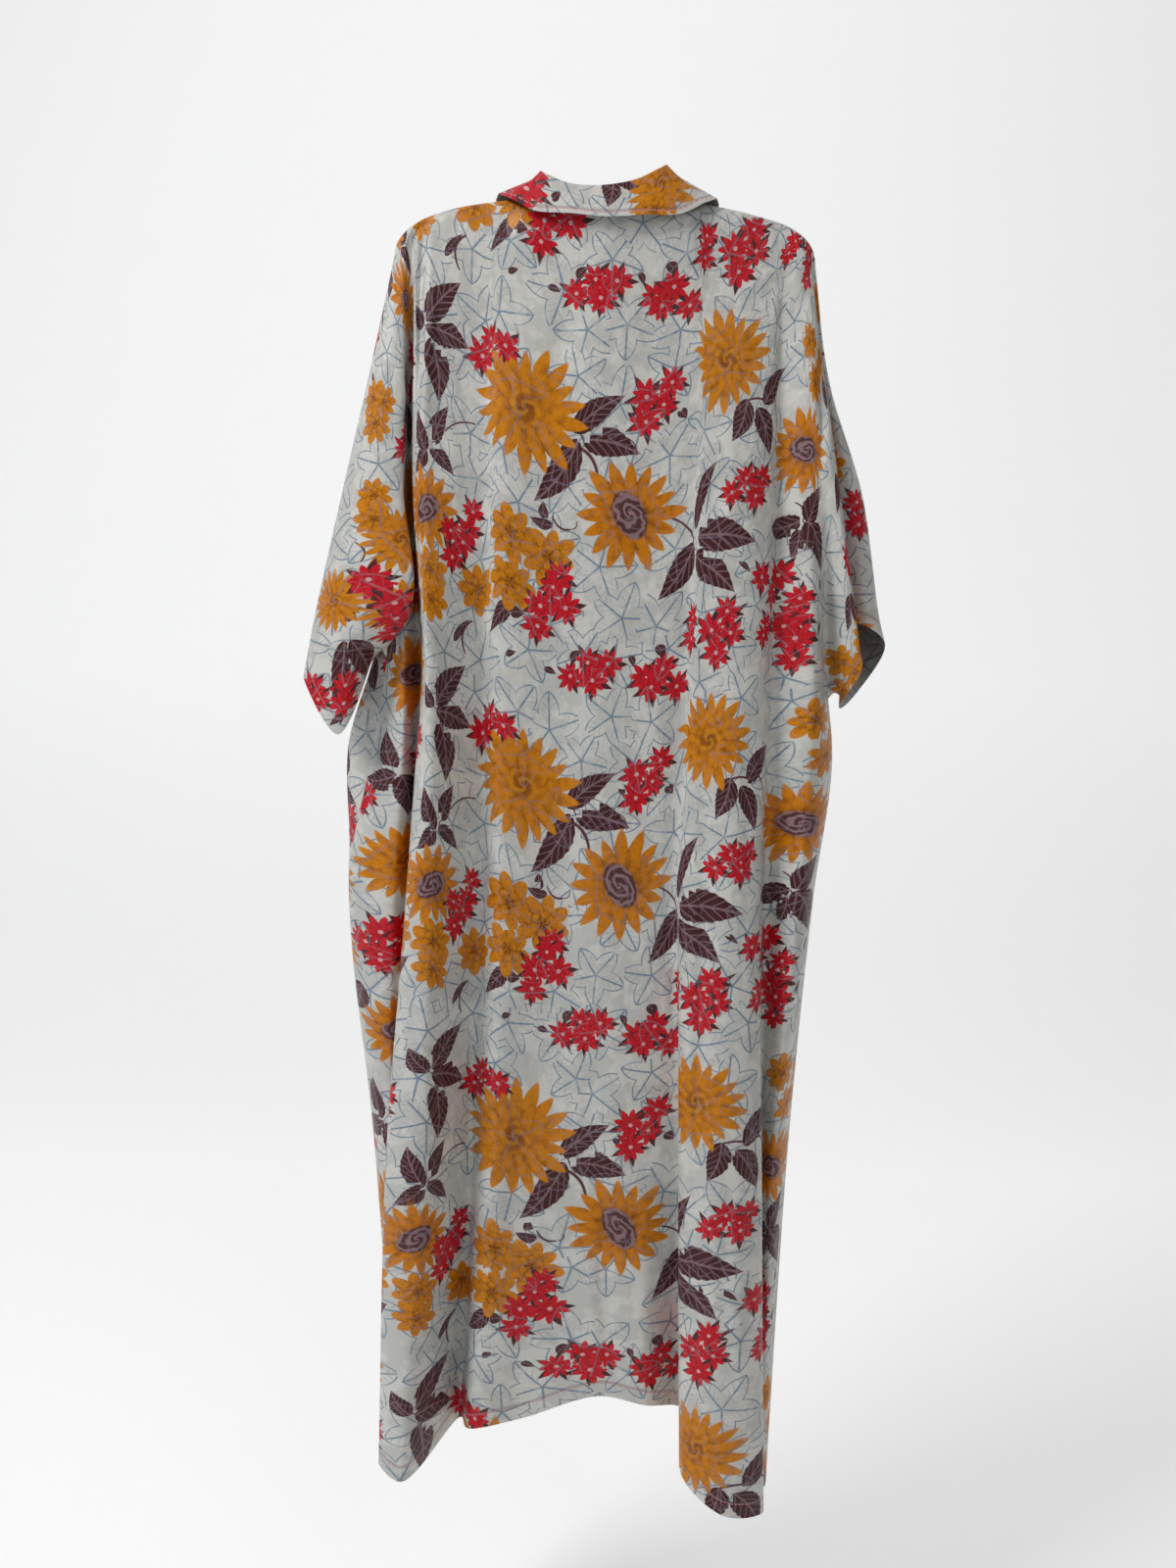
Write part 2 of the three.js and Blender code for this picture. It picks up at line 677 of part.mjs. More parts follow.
// A closed mesh as a manifold-3d solid
function solidOf(geometry) {
  const plain = geometry.index ? geometry.toNonIndexed() : geometry;
  const source = plain.getAttribute("position");
  const seen = new Map();
  const vertProperties = [];
  const triVerts = [];
  for (let n = 0; n < source.count; n += 3) {
    const corners = [n, n + 1, n + 2].map((k) => {
      const corner = [source.getX(k), source.getY(k), source.getZ(k)];
      const name = corner.map((value) => Math.round(value * 1e4)).join();
      if (!seen.has(name)) {
        seen.set(name, seen.size);
        vertProperties.push(...corner);
      }
      return seen.get(name);
    });
    if (new Set(corners).size === 3) triVerts.push(...corners);
  }
  return new wasm.Manifold(
    new wasm.Mesh({
      numProp: 3,
      vertProperties: new Float32Array(vertProperties),
      triVerts: new Uint32Array(triVerts),
    }),
  );
}

function geometryOf(solid) {
  const mesh = solid.getMesh();
  const geometry = new THREE.BufferGeometry();
  geometry.setAttribute("position", new THREE.Float32BufferAttribute(mesh.vertProperties, 3));
  geometry.setIndex(new THREE.BufferAttribute(mesh.triVerts, 1));
  return geometry;
}

// A flat four-hole button with a raised rim, its axis along +Y
function buttonGeometry() {
  const { radius, thickness, rim, hole, holeSpread } = BUTTON;
  const profile = [
    [0, 0],
    [radius - 0.5, 0],
    [radius, 0.5],
    [radius, thickness - 0.4],
    [radius - 0.4, thickness],
    [radius - rim, thickness],
    [radius - rim - 0.6, thickness - 0.7],
    [0, thickness - 0.7],
  ].map(([r, y]) => new THREE.Vector2(r, y));
  let solid = solidOf(new THREE.LatheGeometry(profile, 20));
  if (solid.volume() < 0) throw new Error("the button's profile runs the wrong way");
  for (const [x, z] of [
    [1, 1],
    [1, -1],
    [-1, 1],
    [-1, -1],
  ]) {
    const drill = new THREE.CylinderGeometry(hole, hole, thickness * 3, 8);
    drill.translate((x * holeSpread) / Math.SQRT2, 0, (z * holeSpread) / Math.SQRT2);
    solid = solid.subtract(solidOf(drill));
  }
  return geometryOf(solid);
}

function makeButtons() {
  const material = new THREE.MeshStandardMaterial({ color: BUTTON_COLOUR, roughness: 0.3, metalness: 0 });
  return BUTTON_ROWS.map((row, n) => {
    const lift = CLOTH + LYING_GAP + CLOTH / 2 + LYING_GAP;
    const { point, outward } = placketPoint(row, 0, lift);
    const button = namedMesh("button_" + (n + 1), buttonGeometry(), material);
    button.position.copy(point);
    button.quaternion.setFromUnitVectors(new THREE.Vector3(0, 1, 0), outward);
    return button;
  });
}

// A station of the collar as a strip in section: up the stand, round the fold and down the leaf
function collarSection({ seam, fold, edge }) {
  const stand = fold.clone().sub(seam).normalize();
  const leaf = edge.clone().sub(fold).normalize();
  const apart = leaf.clone().addScaledVector(stand, -leaf.dot(stand)).normalize();
  const turn = fold.clone().addScaledVector(apart, COLLAR_FOLD_RADIUS);
  const points = [seam.clone(), seam.clone().lerp(fold, 0.5), fold.clone()];
  for (const angle of [0.25, 0.5, 0.75]) {
    const a = Math.PI * angle;
    points.push(
      turn
        .clone()
        .addScaledVector(apart, -Math.cos(a) * COLLAR_FOLD_RADIUS)
        .addScaledVector(stand, Math.sin(a) * COLLAR_FOLD_RADIUS),
    );
  }
  const outside = turn.clone().addScaledVector(apart, COLLAR_FOLD_RADIUS);
  points.push(outside, outside.clone().lerp(edge, 0.5), edge.clone());
  return points;
}

// The points of the neck's edge from one end of the front, round the back, to the other end. They lie on the
// panels' own edges.
function neckEdge() {
  const onNeck = (point) => Math.abs(point.x) < NECK_HALF_WIDTH - 1e-6;
  const slit = slitColumn();
  const leftFront = frontGrid[0].filter((point, i) => onNeck(point) && i <= slit).reverse();
  const rightFront = frontGrid[0].filter((point, i) => onNeck(point) && i > slit).reverse();
  const back = backGrid[0].filter((point) => Math.abs(point.x) <= NECK_HALF_WIDTH + 1e-6);
  const points = [...leftFront, ...back, ...rightFront];
  return points.flatMap((point, n) => {
    const next = points[n + 1];
    if (!next || point.distanceTo(next) < COLLAR_LONGEST_STEP) return [point];
    return [point, point.clone().lerp(next, 0.5)];
  });
}

// How far round the neck a point of its edge lies, in degrees from the middle of the back
function turnOf(point) {
  const across = THREE.MathUtils.radToDeg(Math.asin(THREE.MathUtils.clamp(point.x / NECK_HALF_WIDTH, -1, 1)));
  if (point.y <= 0) return across;
  return Math.sign(point.x) * 180 - across;
}

function makeCollar() {
  const mirror = ([x, y, z]) => [-x, y, z];
  const otherHalf = COLLAR_STATIONS.slice(1)
    .reverse()
    .map(({ turn, fold, edge }) => ({ turn: -turn, fold: mirror(fold), edge: mirror(edge) }));
  const stations = [...otherHalf, ...COLLAR_STATIONS];
  const turns = stations.map((station) => station.turn);
  const between = (line, turn) => {
    const place = (axis) => smoothValue(turns, stations.map((station) => station[line][axis]), turn);
    return new THREE.Vector3(place(0), place(1), place(2));
  };
  const grid = neckEdge().map((point) => {
    const turn = turnOf(point);
    const fold = between("fold", turn);
    fold.z += COLLAR_LEAN.tilt * fold.x;
    fold.x -= COLLAR_LEAN.left;
    const rise = fold.clone().sub(point).normalize();
    const seam = point.clone().addScaledVector(rise, COLLAR_SEAM_LIFT);
    return collarSection({ seam, fold, edge: between("edge", turn) });
  });
  const geometry = clothWall(grid, 1, () => true, () => false);
  return namedMesh("collar", geometry, clothMaterial());
}

const group = new THREE.Group();
group.add(makeBack(), makeFront(), makeCollar(), makePlacket(), ...makeButtons());

export default group;
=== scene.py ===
# %% [markdown]
# # A long printed satin kaftan, hanging hollow from its shoulders
# The real garment is a loose kaftan of printed satin, seen from behind: two wide panels, a collar, and a
# placket with three buttons. The frame gives its solids. They could be dressed as they are, but their walls
# are thick and their faces large. So here each cloth piece becomes a thin, finer shell on the same folds,
# with the print, the sheen and the sewing.

# %% Frame
import json
import math
from collections import namedtuple
import bpy
import mathutils
import numpy as np
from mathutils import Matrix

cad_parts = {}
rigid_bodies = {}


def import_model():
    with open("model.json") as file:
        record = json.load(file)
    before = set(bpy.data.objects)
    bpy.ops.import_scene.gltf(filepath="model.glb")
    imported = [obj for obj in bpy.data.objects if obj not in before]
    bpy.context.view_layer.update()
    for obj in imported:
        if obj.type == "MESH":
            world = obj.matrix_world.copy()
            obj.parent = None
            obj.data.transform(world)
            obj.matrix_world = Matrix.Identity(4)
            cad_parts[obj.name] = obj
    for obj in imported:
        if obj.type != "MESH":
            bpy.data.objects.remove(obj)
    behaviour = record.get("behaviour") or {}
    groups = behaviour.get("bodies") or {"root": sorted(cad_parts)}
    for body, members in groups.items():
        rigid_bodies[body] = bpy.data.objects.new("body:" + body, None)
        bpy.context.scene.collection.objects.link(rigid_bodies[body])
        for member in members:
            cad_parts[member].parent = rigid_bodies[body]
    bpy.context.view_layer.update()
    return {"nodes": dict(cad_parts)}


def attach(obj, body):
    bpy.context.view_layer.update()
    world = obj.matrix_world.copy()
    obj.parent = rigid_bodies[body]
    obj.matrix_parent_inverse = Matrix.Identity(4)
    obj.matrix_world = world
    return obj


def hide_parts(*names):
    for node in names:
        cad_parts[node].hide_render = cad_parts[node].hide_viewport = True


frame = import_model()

print("solids:", ", ".join(sorted(frame["nodes"])))

# %% [markdown]
# The two panels are sewn along the shoulders and sides, and hung up, each falls into long folds. A cloth
# simulation could make them, but it gives folds of its own and not those of the photo. So the shape is given
# as folds: each row of a table is one fold, with its place across (x) and its depth at some heights. All
# tables are in millimetres.

# %% Sizes and folds
# top and lower: where the fold starts across and how low it ends; steps: columns to the next fold; x and
# depth: one value for each height and one for the lower end; middle: a sleeve's height at the underarm
Fold = namedtuple("Fold", "name top lower steps x depth middle", defaults=[None])
Neck = namedtuple("Neck", "depth drop")

NECK_HALF_WIDTH = 80
BACK_NECK = Neck(-30, 12)
FRONT_NECK = Neck(42, 74)
SHOULDER_ROUNDING = 60  # the cloth bends over the shoulder within this height
UNDERARM_ROW, CUFF_ROW, HEM_ROW = 13, 16, 29
TOP_CROWDING = 1.7  # the rows crowd towards the shoulder by this power
TOP_DRAWN_ROWS = 6
ARCH_STEPS, ARCH_RISE, ARCH_ROUNDING = 3, 5, 10
ARCH_FULLNESS_DEPTH, ARCH_FULLNESS_HEIGHT = 8, 120
SEAM_PARTING = 0.15  # each panel stops this far short of a shared seam
BODY_HEIGHTS = (-60, -300, -490, -600, -750, -1050)
SLEEVE_HEIGHTS = (-60, -180, -300, -430)
SHOULDER_OUT = (0, 80, 116, 150, 180, 196, 206)
SHOULDER_HEIGHT = (2, 1, -4, -11, -20, -28, -36)
LEFT_UNDERARM = (-232, -490)
RIGHT_UNDERARM = (252, -524)
MM_PER_M = 1000
ROW_PARTS = 6  # fine rows to one row of the solids
COLUMN_PARTS = 4

BACK_FOLDS = [
    Fold("left side seam", -183, -1424, 2, (-212, -211, -232, -250, -276, -247, -216),
         (-17, -36, -3, 5, 8, 8, 0)),
    Fold("left side valley", -178, -1420, 2, (-210, -210, -221, -232, -248, -238, -219),
         (-16, -26, -12, -15, -26, -26, -25)),
    Fold("left side ridge", -173, -1416, 2, (-208, -209, -210, -211, -220, -226, -223),
         (-15, -17, -30, -36, -37, -40, -45)),
    Fold("left slit", -167, -1412, 3, (-205, -204, -197, -200, -207, -219, -221),
         (-14, -10, -8, -12, -22, -46, -60)),
    Fold("left fold edge", -158, -1406, 2, (-200, -198, -184, -190, -200, -221, -229),
         (-18, -50, -70, -73, -75, -84, -84)),
    Fold("left flute", -142, -1412, 4, (-188, -187, -178, -175, -175, -184, -200),
         (-21, -62, -84, -89, -92, -104, -110)),
    Fold("left valley", -106, -1388, 2, (-128, -126, -125, -125, -125, -133, -143),
         (-21, -47, -50, -46, -42, -34, -16)),
    Fold("panel left edge", -80, -1367, 2, (-108, -107, -104, -103, -101, -107, -125),
         (-23, -54, -62, -63, -64, -69, -74)),
    Fold("panel left half", -46, -1361, 2, (-52, -52, -50, -50, -50, -52, -64),
         (-28, -52, -57, -57, -57, -56, -58)),
    Fold("centre back", 0, -1337, 2, (0, 0, 0, 0, 0, 4, 20), (-33, -55, -61, -60, -59, -55, -50)),
    Fold("panel right half", 46, -1347, 2, (52, 52, 52, 52, 52, 58, 76),
         (-28, -52, -57, -57, -56, -53, -50)),
    Fold("panel right edge", 80, -1366, 2, (98, 98, 96, 95, 92, 110, 121),
         (-23, -50, -55, -54, -52, -42, -24)),
    Fold("right fold edge", 96, -1403, 3, (108, 108, 106, 104, 100, 105, 117),
         (-22, -52, -60, -62, -66, -85, -98)),
    Fold("right flute", 135, -1435, 3, (150, 150, 150, 149, 147, 153, 162),
         (-20, -56, -68, -75, -84, -110, -124)),
    Fold("flute outer edge", 154, -1450, 2, (178, 179, 178, 178, 181, 194, 211),
         (-17, -46, -57, -62, -70, -84, -96)),
    Fold("right valley", 163, -1458, 3, (188, 190, 192, 193, 194, 199, 213),
         (-16, -34, -39, -38, -36, -28, -44)),
    Fold("right ridge", 172, -1460, 2, (201, 221, 233, 234, 227, 213, 222),
         (-17, -46, -58, -60, -60, -46, -26)),
    Fold("right side seam", 179, -1458, 0, (207, 238, 252, 266, 252, 236, 226),
         (-17, -44, -10, 4, 5, 6, 0)),
]
FRONT_FOLDS = [
    Fold("left side seam", -183, -1424, 3, (-211, -216, -232, -250, -276, -247, -216),
         (16, 22, -3, 5, 8, 8, 0)),
    Fold("left side flute", -172, -1426, 3, (-202, -208, -250, -281, -272, -244, -222),
         (17, 38, 26, 34, 46, 54, 62)),
    Fold("left front flute", -150, -1424, 3, (-178, -182, -198, -208, -206, -200, -196),
         (18, 52, 58, 62, 68, 80, 92)),
    Fold("left front valley", -112, -1392, 3, (-128, -132, -138, -140, -142, -142, -142),
         (20, 40, 40, 40, 40, 42, 40)),
    Fold("left front panel", -80, -1392, 5, (-86, -84, -84, -84, -86, -92, -96),
         (26, 50, 56, 58, 62, 70, 78)),
    Fold("left of placket", -17, -1372, 1, (-17, -17, -17, -17, -17, -17, -17),
         (40, 52, 57, 58, 58, 58, 56)),
    Fold("slit left edge", -1.5, -1371, 1, (-1.5, -1.5, -1.5, -1.5, -1.5, -1.5, -1.5),
         (40, 52, 57, 58, 58, 58, 56)),
    Fold("slit right edge", 1.5, -1371, 1, (1.5, 1.5, 1.5, 1.5, 1.5, 1.5, 1.5),
         (40, 52, 57, 58, 58, 58, 56)),
    Fold("right of placket", 17, -1372, 5, (17, 17, 17, 17, 17, 17, 17), (40, 52, 57, 58, 58, 58, 56)),
    Fold("right front panel", 80, -1394, 3, (86, 86, 88, 88, 90, 98, 104), (26, 50, 56, 58, 60, 66, 72)),
    Fold("right front valley", 112, -1398, 3, (128, 134, 140, 142, 142, 144, 148),
         (20, 40, 42, 42, 42, 44, 40)),
    Fold("right front flute", 146, -1440, 3, (178, 190, 200, 204, 204, 202, 204),
         (18, 52, 58, 62, 70, 84, 96)),
    Fold("right side flute", 166, -1448, 3, (200, 226, 238, 254, 246, 232, 230),
         (17, 38, 38, 40, 48, 52, 58)),
    Fold("right side seam", 179, -1458, 0, (208, 242, 252, 266, 252, 236, 226), (16, 24, -10, 4, 5, 6, 0)),
]
LEFT_SLEEVE_BACK = [
    Fold("sleeve top seam", -206, -512, 3, (-225, -251, -279, -309, -325), (0, 0, 0, 0, 0), -462),
    Fold("sleeve crest", -198, -571, 3, (-220, -234, -250, -264, -280), (-11, -34, -46, -52, -40), -470),
    Fold("sleeve lip", -190, -493, 3, (-215, -212, -211, -199, -249), (-16, -36, -50, -54, -13), -482),
]
LEFT_SLEEVE_FRONT = [
    Fold("sleeve top seam", -206, -512, 3, (-225, -251, -279, -309, -325), (0, 0, 0, 0, 0), -462),
    Fold("sleeve front", -198, -556, 3, (-220, -234, -254, -278, -292), (11, 30, 42, 48, 46), -470),
    Fold("sleeve lip", -190, -493, 3, (-214, -219, -228, -239, -249), (15, 24, 30, 18, -13), -482),
]
RIGHT_SLEEVE_BACK = [
    Fold("sleeve top seam", 206, -463, 2, (222, 242, 284, 309, 318), (0, 0, 0, 0, 0), -440),
    Fold("sleeve outer part", 202, -444, 2, (220, 239, 272, 292, 298), (-8, -12, -20, -22, -16), -426),
    Fold("sleeve inner crease", 198, -440, 2, (218, 233, 252, 270, 279), (-11, -7, -8, -8, -6), -422),
    Fold("sleeve fold edge", 193, -484, 2, (215, 234, 254, 276, 286), (-14, -28, -42, -50, -46), -462),
    Fold("sleeve lip", 186, -530, 3, (211, 228, 245, 264, 268), (-16, -32, -46, -46, -14), -518),
]
RIGHT_SLEEVE_FRONT = [
    Fold("sleeve top seam", 206, -463, 2, (222, 242, 284, 309, 318), (0, 0, 0, 0, 0), -440),
    Fold("sleeve front", 196, -520, 3, (217, 234, 260, 284, 298), (11, 28, 40, 48, 48), -470),
    Fold("sleeve lip", 186, -530, 3, (212, 230, 250, 266, 268), (14, 24, 32, 24, -14), -518),
]
print(len(BACK_FOLDS), "folds in the back,", len(FRONT_FOLDS), "in the front")

# %% [markdown]
# Each fold starts on the shoulder seam or at the neck, bends over the shoulder and runs down to the cuff or
# hem. Straight lines from height to height would show as kinks in the satin's sheen. Blender's curve objects
# could round them, but numpy gives the points of all rows at once, and the panels are built from rows.

# %% Lines of the folds
def smooth_value(knots, values, at):
    """A smooth value between the knots of a table, flat past its ends."""
    knots, values, at = (np.asarray(a, float) for a in (knots, values, at))
    if knots[0] > knots[-1]:
        knots, at = -knots, -at
    at = np.clip(at, knots[0], knots[-1])
    last = len(knots) - 1
    n = np.clip(np.searchsorted(knots, at) - 1, 0, last - 1)
    span = knots[n + 1] - knots[n]
    t = (at - knots[n]) / span

    def slope(k):
        low, high = np.maximum(k - 1, 0), np.minimum(k + 1, last)
        return (values[high] - values[low]) / (knots[high] - knots[low]) * span

    return ((2 * t**3 - 3 * t**2 + 1) * values[n] + (t**3 - 2 * t**2 + t) * slope(n)
            + (3 * t**2 - 2 * t**3) * values[n + 1] + (t**3 - t**2) * slope(n + 1))


def shoulder_height(x):
    return smooth_value(SHOULDER_OUT, SHOULDER_HEIGHT, np.abs(x))


def top_points(x, neck):
    """Where folds start: on the shoulder seam, or on the edge of the neck."""
    x = np.asarray(x, float)
    inward = np.sqrt(np.clip(1 - (x / NECK_HALF_WIDTH) ** 2, 0, 1))
    edge = shoulder_height(np.full_like(x, NECK_HALF_WIDTH)) - neck.drop * inward
    z = np.where(inward > 0, edge, shoulder_height(x))
    return np.stack([x, neck.depth * inward, z], -1)


def row_heights(rows, top, middle, lower, last_row):
    share = (np.minimum(rows, UNDERARM_ROW - 1) / (UNDERARM_ROW - 1)) ** TOP_CROWDING
    over = top + (middle + ARCH_ROUNDING - top) * share
    close = np.clip(rows - (UNDERARM_ROW - 1), 0, 1) * -ARCH_ROUNDING
    under = middle + (lower - middle) * (rows - UNDERARM_ROW) / (last_row - UNDERARM_ROW)
    return np.where(rows < UNDERARM_ROW, over + close, under)


def fold_line(fold, neck, sleeve):
    """The fold's point in each row."""
    heights = SLEEVE_HEIGHTS if sleeve else BODY_HEIGHTS
    middle = fold.middle
    if not sleeve:
        between = (fold.x[2] - LEFT_UNDERARM[0]) / (RIGHT_UNDERARM[0] - LEFT_UNDERARM[0])
        middle = np.interp(between, (0, 1), (LEFT_UNDERARM[1], RIGHT_UNDERARM[1]))
    top = top_points(fold.top, neck)
    z = row_heights(ROWS, top[2], middle, fold.lower, CUFF_ROW if sleeve else HEM_ROW)
    knots = [*heights, fold.lower]
    rounded = min(SHOULDER_ROUNDING, top[2] - heights[0])
    bend = np.sqrt(1 - (1 - np.clip((top[2] - z) / rounded, 0, 1)) ** 2)
    x = top[0] + (smooth_value(knots, fold.x, z) - top[0]) * bend
    y = top[1] + (smooth_value(knots, fold.depth, z) - top[1]) * bend
    return np.stack([x, y, z], -1)


def with_fullness(line, side):
    """Above the underarm, the panel stands off the seam: backward for side -1, forward for side 1."""
    full = line.copy()
    over = line[:, 2] - line[ROWS == UNDERARM_ROW, 2]
    near = np.clip(1 - over / ARCH_FULLNESS_HEIGHT, 0, 1) * (ROWS < UNDERARM_ROW)
    full[:, 1] += side * ARCH_FULLNESS_DEPTH * near
    return full


def curve_through(lines, steps, before, after):
    """Smooth curves across each row, through the folds' points. Returns rows by columns by 3."""
    p = np.stack([before, *lines, after], 1)
    gaps = np.maximum(np.linalg.norm(np.diff(p, axis=1), axis=2), 1e-6) ** 0.5
    samples = [p[:, 1]]
    for n in range(len(lines) - 1):
        p0, p1, p2, p3 = (p[:, n + k] for k in range(4))
        d0, d1, d2 = (gaps[:, n + k, None] for k in range(3))
        t1 = ((p1 - p0) / d0 - (p2 - p0) / (d0 + d1) + (p2 - p1) / d1) * d1
        t2 = ((p2 - p1) / d1 - (p3 - p1) / (d1 + d2) + (p3 - p2) / d2) * d1
        for s in range(1, steps[n] * COLUMN_PARTS + 1):
            t = s / (steps[n] * COLUMN_PARTS)
            samples.append(p1 + t1 * t + (3 * (p2 - p1) - 2 * t1 - t2) * t**2
                           + (2 * (p1 - p2) + t1 + t2) * t**3)
    return np.stack(samples, 1)


ROWS = np.arange(HEM_ROW * ROW_PARTS + 1) / ROW_PARTS
print(len(ROWS), "rows of points")

# %% [markdown]
# Each panel is one grid of points. Above the underarm, a row runs from sleeve edge to sleeve edge. Below
# it, the body and the two sleeves part, and the side seams of back and front are the same lines. A panel
# could be sculpted, but a grid keeps its rows and columns, which the print and the hems need later.

# %% Panels
Panel = namedtuple("Panel", "left body right steps columns neck")


def make_panel(left_folds, body_folds, right_folds, neck, side, other=None):
    left = [fold_line(fold, neck, True) for fold in left_folds]
    right = [fold_line(fold, neck, True) for fold in right_folds][::-1]
    body = [fold_line(fold, neck, False) for fold in body_folds]
    shared = [None] * 4 if other is None else [other.left[-1], other.body[0], other.body[-1], other.right[0]]
    for (lines, at), common in zip([(left, -1), (body, 0), (body, -1), (right, 0)], shared):
        own = with_fullness(lines[at], side)
        below = (ROWS >= UNDERARM_ROW)[:, None]
        lines[at] = own if common is None else np.where(below, common, own)
    steps = ([f.steps for f in left_folds][:-1], [f.steps for f in body_folds][:-1],
             [f.steps for f in right_folds][::-1][1:])
    widths = [sum(part) * COLUMN_PARTS for part in steps]
    arch = ARCH_STEPS * COLUMN_PARTS
    columns = np.cumsum([widths[0], arch, widths[1], arch, widths[2]])
    return Panel(left, body, right, steps, columns, neck)


def panel_points(panel, other):
    """Rows by columns by 3, with NaN where there is no cloth."""
    lip, start, end, far_lip, last = panel.columns
    grid = np.full((len(ROWS), last + 1, 3), np.nan)
    to_cuff = np.minimum(np.arange(len(ROWS)), CUFF_ROW * ROW_PARTS)
    outer_left, outer_right = other.left[1][to_cuff], other.right[-2][to_cuff]
    whole = [*panel.steps[0], ARCH_STEPS, *panel.steps[1], ARCH_STEPS, *panel.steps[2]]
    upper = curve_through([*panel.left, *panel.body, *panel.right], whole, outer_left, outer_right)
    body = curve_through(panel.body, panel.steps[1], other.body[1], other.body[-2])
    left = curve_through(panel.left, panel.steps[0], outer_left, outer_left)
    right = curve_through(panel.right, panel.steps[2], outer_right, outer_right)
    u, c = UNDERARM_ROW * ROW_PARTS, CUFF_ROW * ROW_PARTS + 1
    grid[u:, start:end + 1] = body[u:]
    grid[u:c, :lip + 1] = left[u:c]
    grid[u:c, far_lip:] = right[u:c]
    for a, b in ((lip, start), (end, far_lip)):
        share = (np.arange(a + 1, b) - a)[:, None] / (b - a)
        arch = grid[u, a] + (grid[u, b] - grid[u, a]) * share
        arch[:, 2:] += ARCH_RISE * np.sin(math.pi * share)
        grid[u, a + 1:b] = arch
    above = (UNDERARM_ROW - 1) * ROW_PARTS
    grid[:above + 1] = upper[:above + 1]
    for n in range(1, ROW_PARTS):
        grid[above + n] = upper[above] + (grid[u] - upper[above]) * (n / ROW_PARTS)
    shifts = top_points(grid[0, :, 0], panel.neck) - grid[0]
    fading = np.clip(1 - ROWS / TOP_DRAWN_ROWS, 0, 1) ** 1.5
    return grid + shifts * fading[:, None, None]


back_panel = make_panel(LEFT_SLEEVE_BACK, BACK_FOLDS, RIGHT_SLEEVE_BACK, BACK_NECK, -1)
front_panel = make_panel(LEFT_SLEEVE_FRONT, FRONT_FOLDS, RIGHT_SLEEVE_FRONT, FRONT_NECK, 1, back_panel)
back_grid = panel_points(back_panel, front_panel)
front_grid = panel_points(front_panel, back_panel)
print("back", back_grid.shape, "front", front_grid.shape)

# %% [markdown]
# Between the large folds the satin has smaller, uneven creases. Each is a soft trough or ridge along a
# line, deepest in its middle and fading out to its ends and sides. A noise texture could crease the whole
# cloth, but it would put its creases anywhere, so the main ones are given one by one.

# %% Creases
Crease = namedtuple("Crease", "x z to_x to_z width depth")  # depth above 0 is a ridge, below 0 a trough
BACK_CREASES = [
    Crease(-46, -70, -40, -190, 9, -2.2),
    Crease(-20, -96, -8, -260, 12, 1.6),
    Crease(38, -60, 46, -170, 10, -1.8),
    Crease(92, -300, 96, -560, 8, -2.0),
    Crease(-88, -150, -92, -420, 10, 1.8),
    Crease(70, -420, 74, -760, 12, 2.0),
    Crease(-30, -520, -26, -900, 14, -1.6),
    Crease(84, -700, 98, -930, 7, -2.6),
    Crease(100, -720, 112, -960, 6, 2.4),
    Crease(24, -780, 40, -1180, 13, 1.8),
    Crease(-78, -860, -86, -1230, 11, -2.4),
    Crease(-50, -980, -62, -1340, 10, 2.6),
    Crease(20, -1060, 34, -1345, 9, -2.8),
    Crease(62, -1100, 84, -1350, 9, 2.4),
    Crease(-170, -120, -168, -330, 6, -1.6),
    Crease(-184, -560, -186, -820, 6, 1.8),
    Crease(-178, -900, -196, -1270, 7, -2.6),
    Crease(136, -180, 134, -460, 7, 1.8),
    Crease(166, -520, 168, -860, 6, -2.2),
    Crease(150, -960, 166, -1330, 8, -2.8),
    Crease(212, -260, 214, -440, 5, 2.0),
    Crease(-193, -24, -197, -260, 4, -9.0),
    Crease(-184, -30, -187, -300, 5, 5.0),
    Crease(-118, -330, -120, -800, 6, -4.0),
    Crease(118, -460, 124, -1330, 5, -4.5),
    Crease(-128, -880, -140, -1350, 6, -4.0),
    Crease(8, -1120, 16, -1325, 7, 3.0),
    Crease(-20, -1180, -24, -1330, 6, -3.0),
    Crease(184, -640, 186, -1300, 5, -4.0),
    Crease(228, -110, 232, -300, 4, -4.0),
    Crease(-250, -250, -268, -430, 6, -2.0),
    Crease(-272, -330, -300, -500, 6, 1.8),
    Crease(270, -250, 292, -400, 6, -1.8),
]
FRONT_CREASES = [
    Crease(-44, -130, -48, -360, 11, -2.2),
    Crease(52, -150, 46, -420, 12, 2.0),
    Crease(-60, -480, -64, -860, 12, 2.0),
    Crease(44, -560, 52, -960, 10, -2.4),
    Crease(-112, -260, -116, -620, 8, -2.0),
    Crease(116, -300, 120, -700, 9, 2.2),
    Crease(-36, -900, -44, -1340, 11, -2.6),
    Crease(70, -1010, 80, -1370, 10, 2.4),
    Crease(-176, -560, -180, -960, 8, 2.4),
    Crease(180, -620, 184, -1080, 8, -2.6),
    Crease(-214, -820, -208, -1330, 7, -2.4),
    Crease(-262, -260, -282, -430, 6, 1.8),
    Crease(262, -260, 284, -420, 6, -1.8),
]


def with_creases(grid, creases, side):
    """Moves the points near each crease out or in along Y. The crease's line wanders a little."""
    made = grid.copy()
    x, z = grid[..., 0], grid[..., 2]
    for crease in creases:
        line = np.array([crease.to_x - crease.x, crease.to_z - crease.z], float)
        length = np.hypot(*line)
        along = ((x - crease.x) * line[0] + (z - crease.z) * line[1]) / length**2
        off = ((x - crease.x) * line[1] - (z - crease.z) * line[0]) / length
        wander = 0.35 * crease.width * np.sin(along * 9 + crease.x)
        near = np.exp(-(((off + wander) / crease.width) ** 2))
        strength = np.sin(math.pi * np.clip(along, 0, 1)) ** 0.8
        made[..., 1] += side * crease.depth * near * strength
    return made


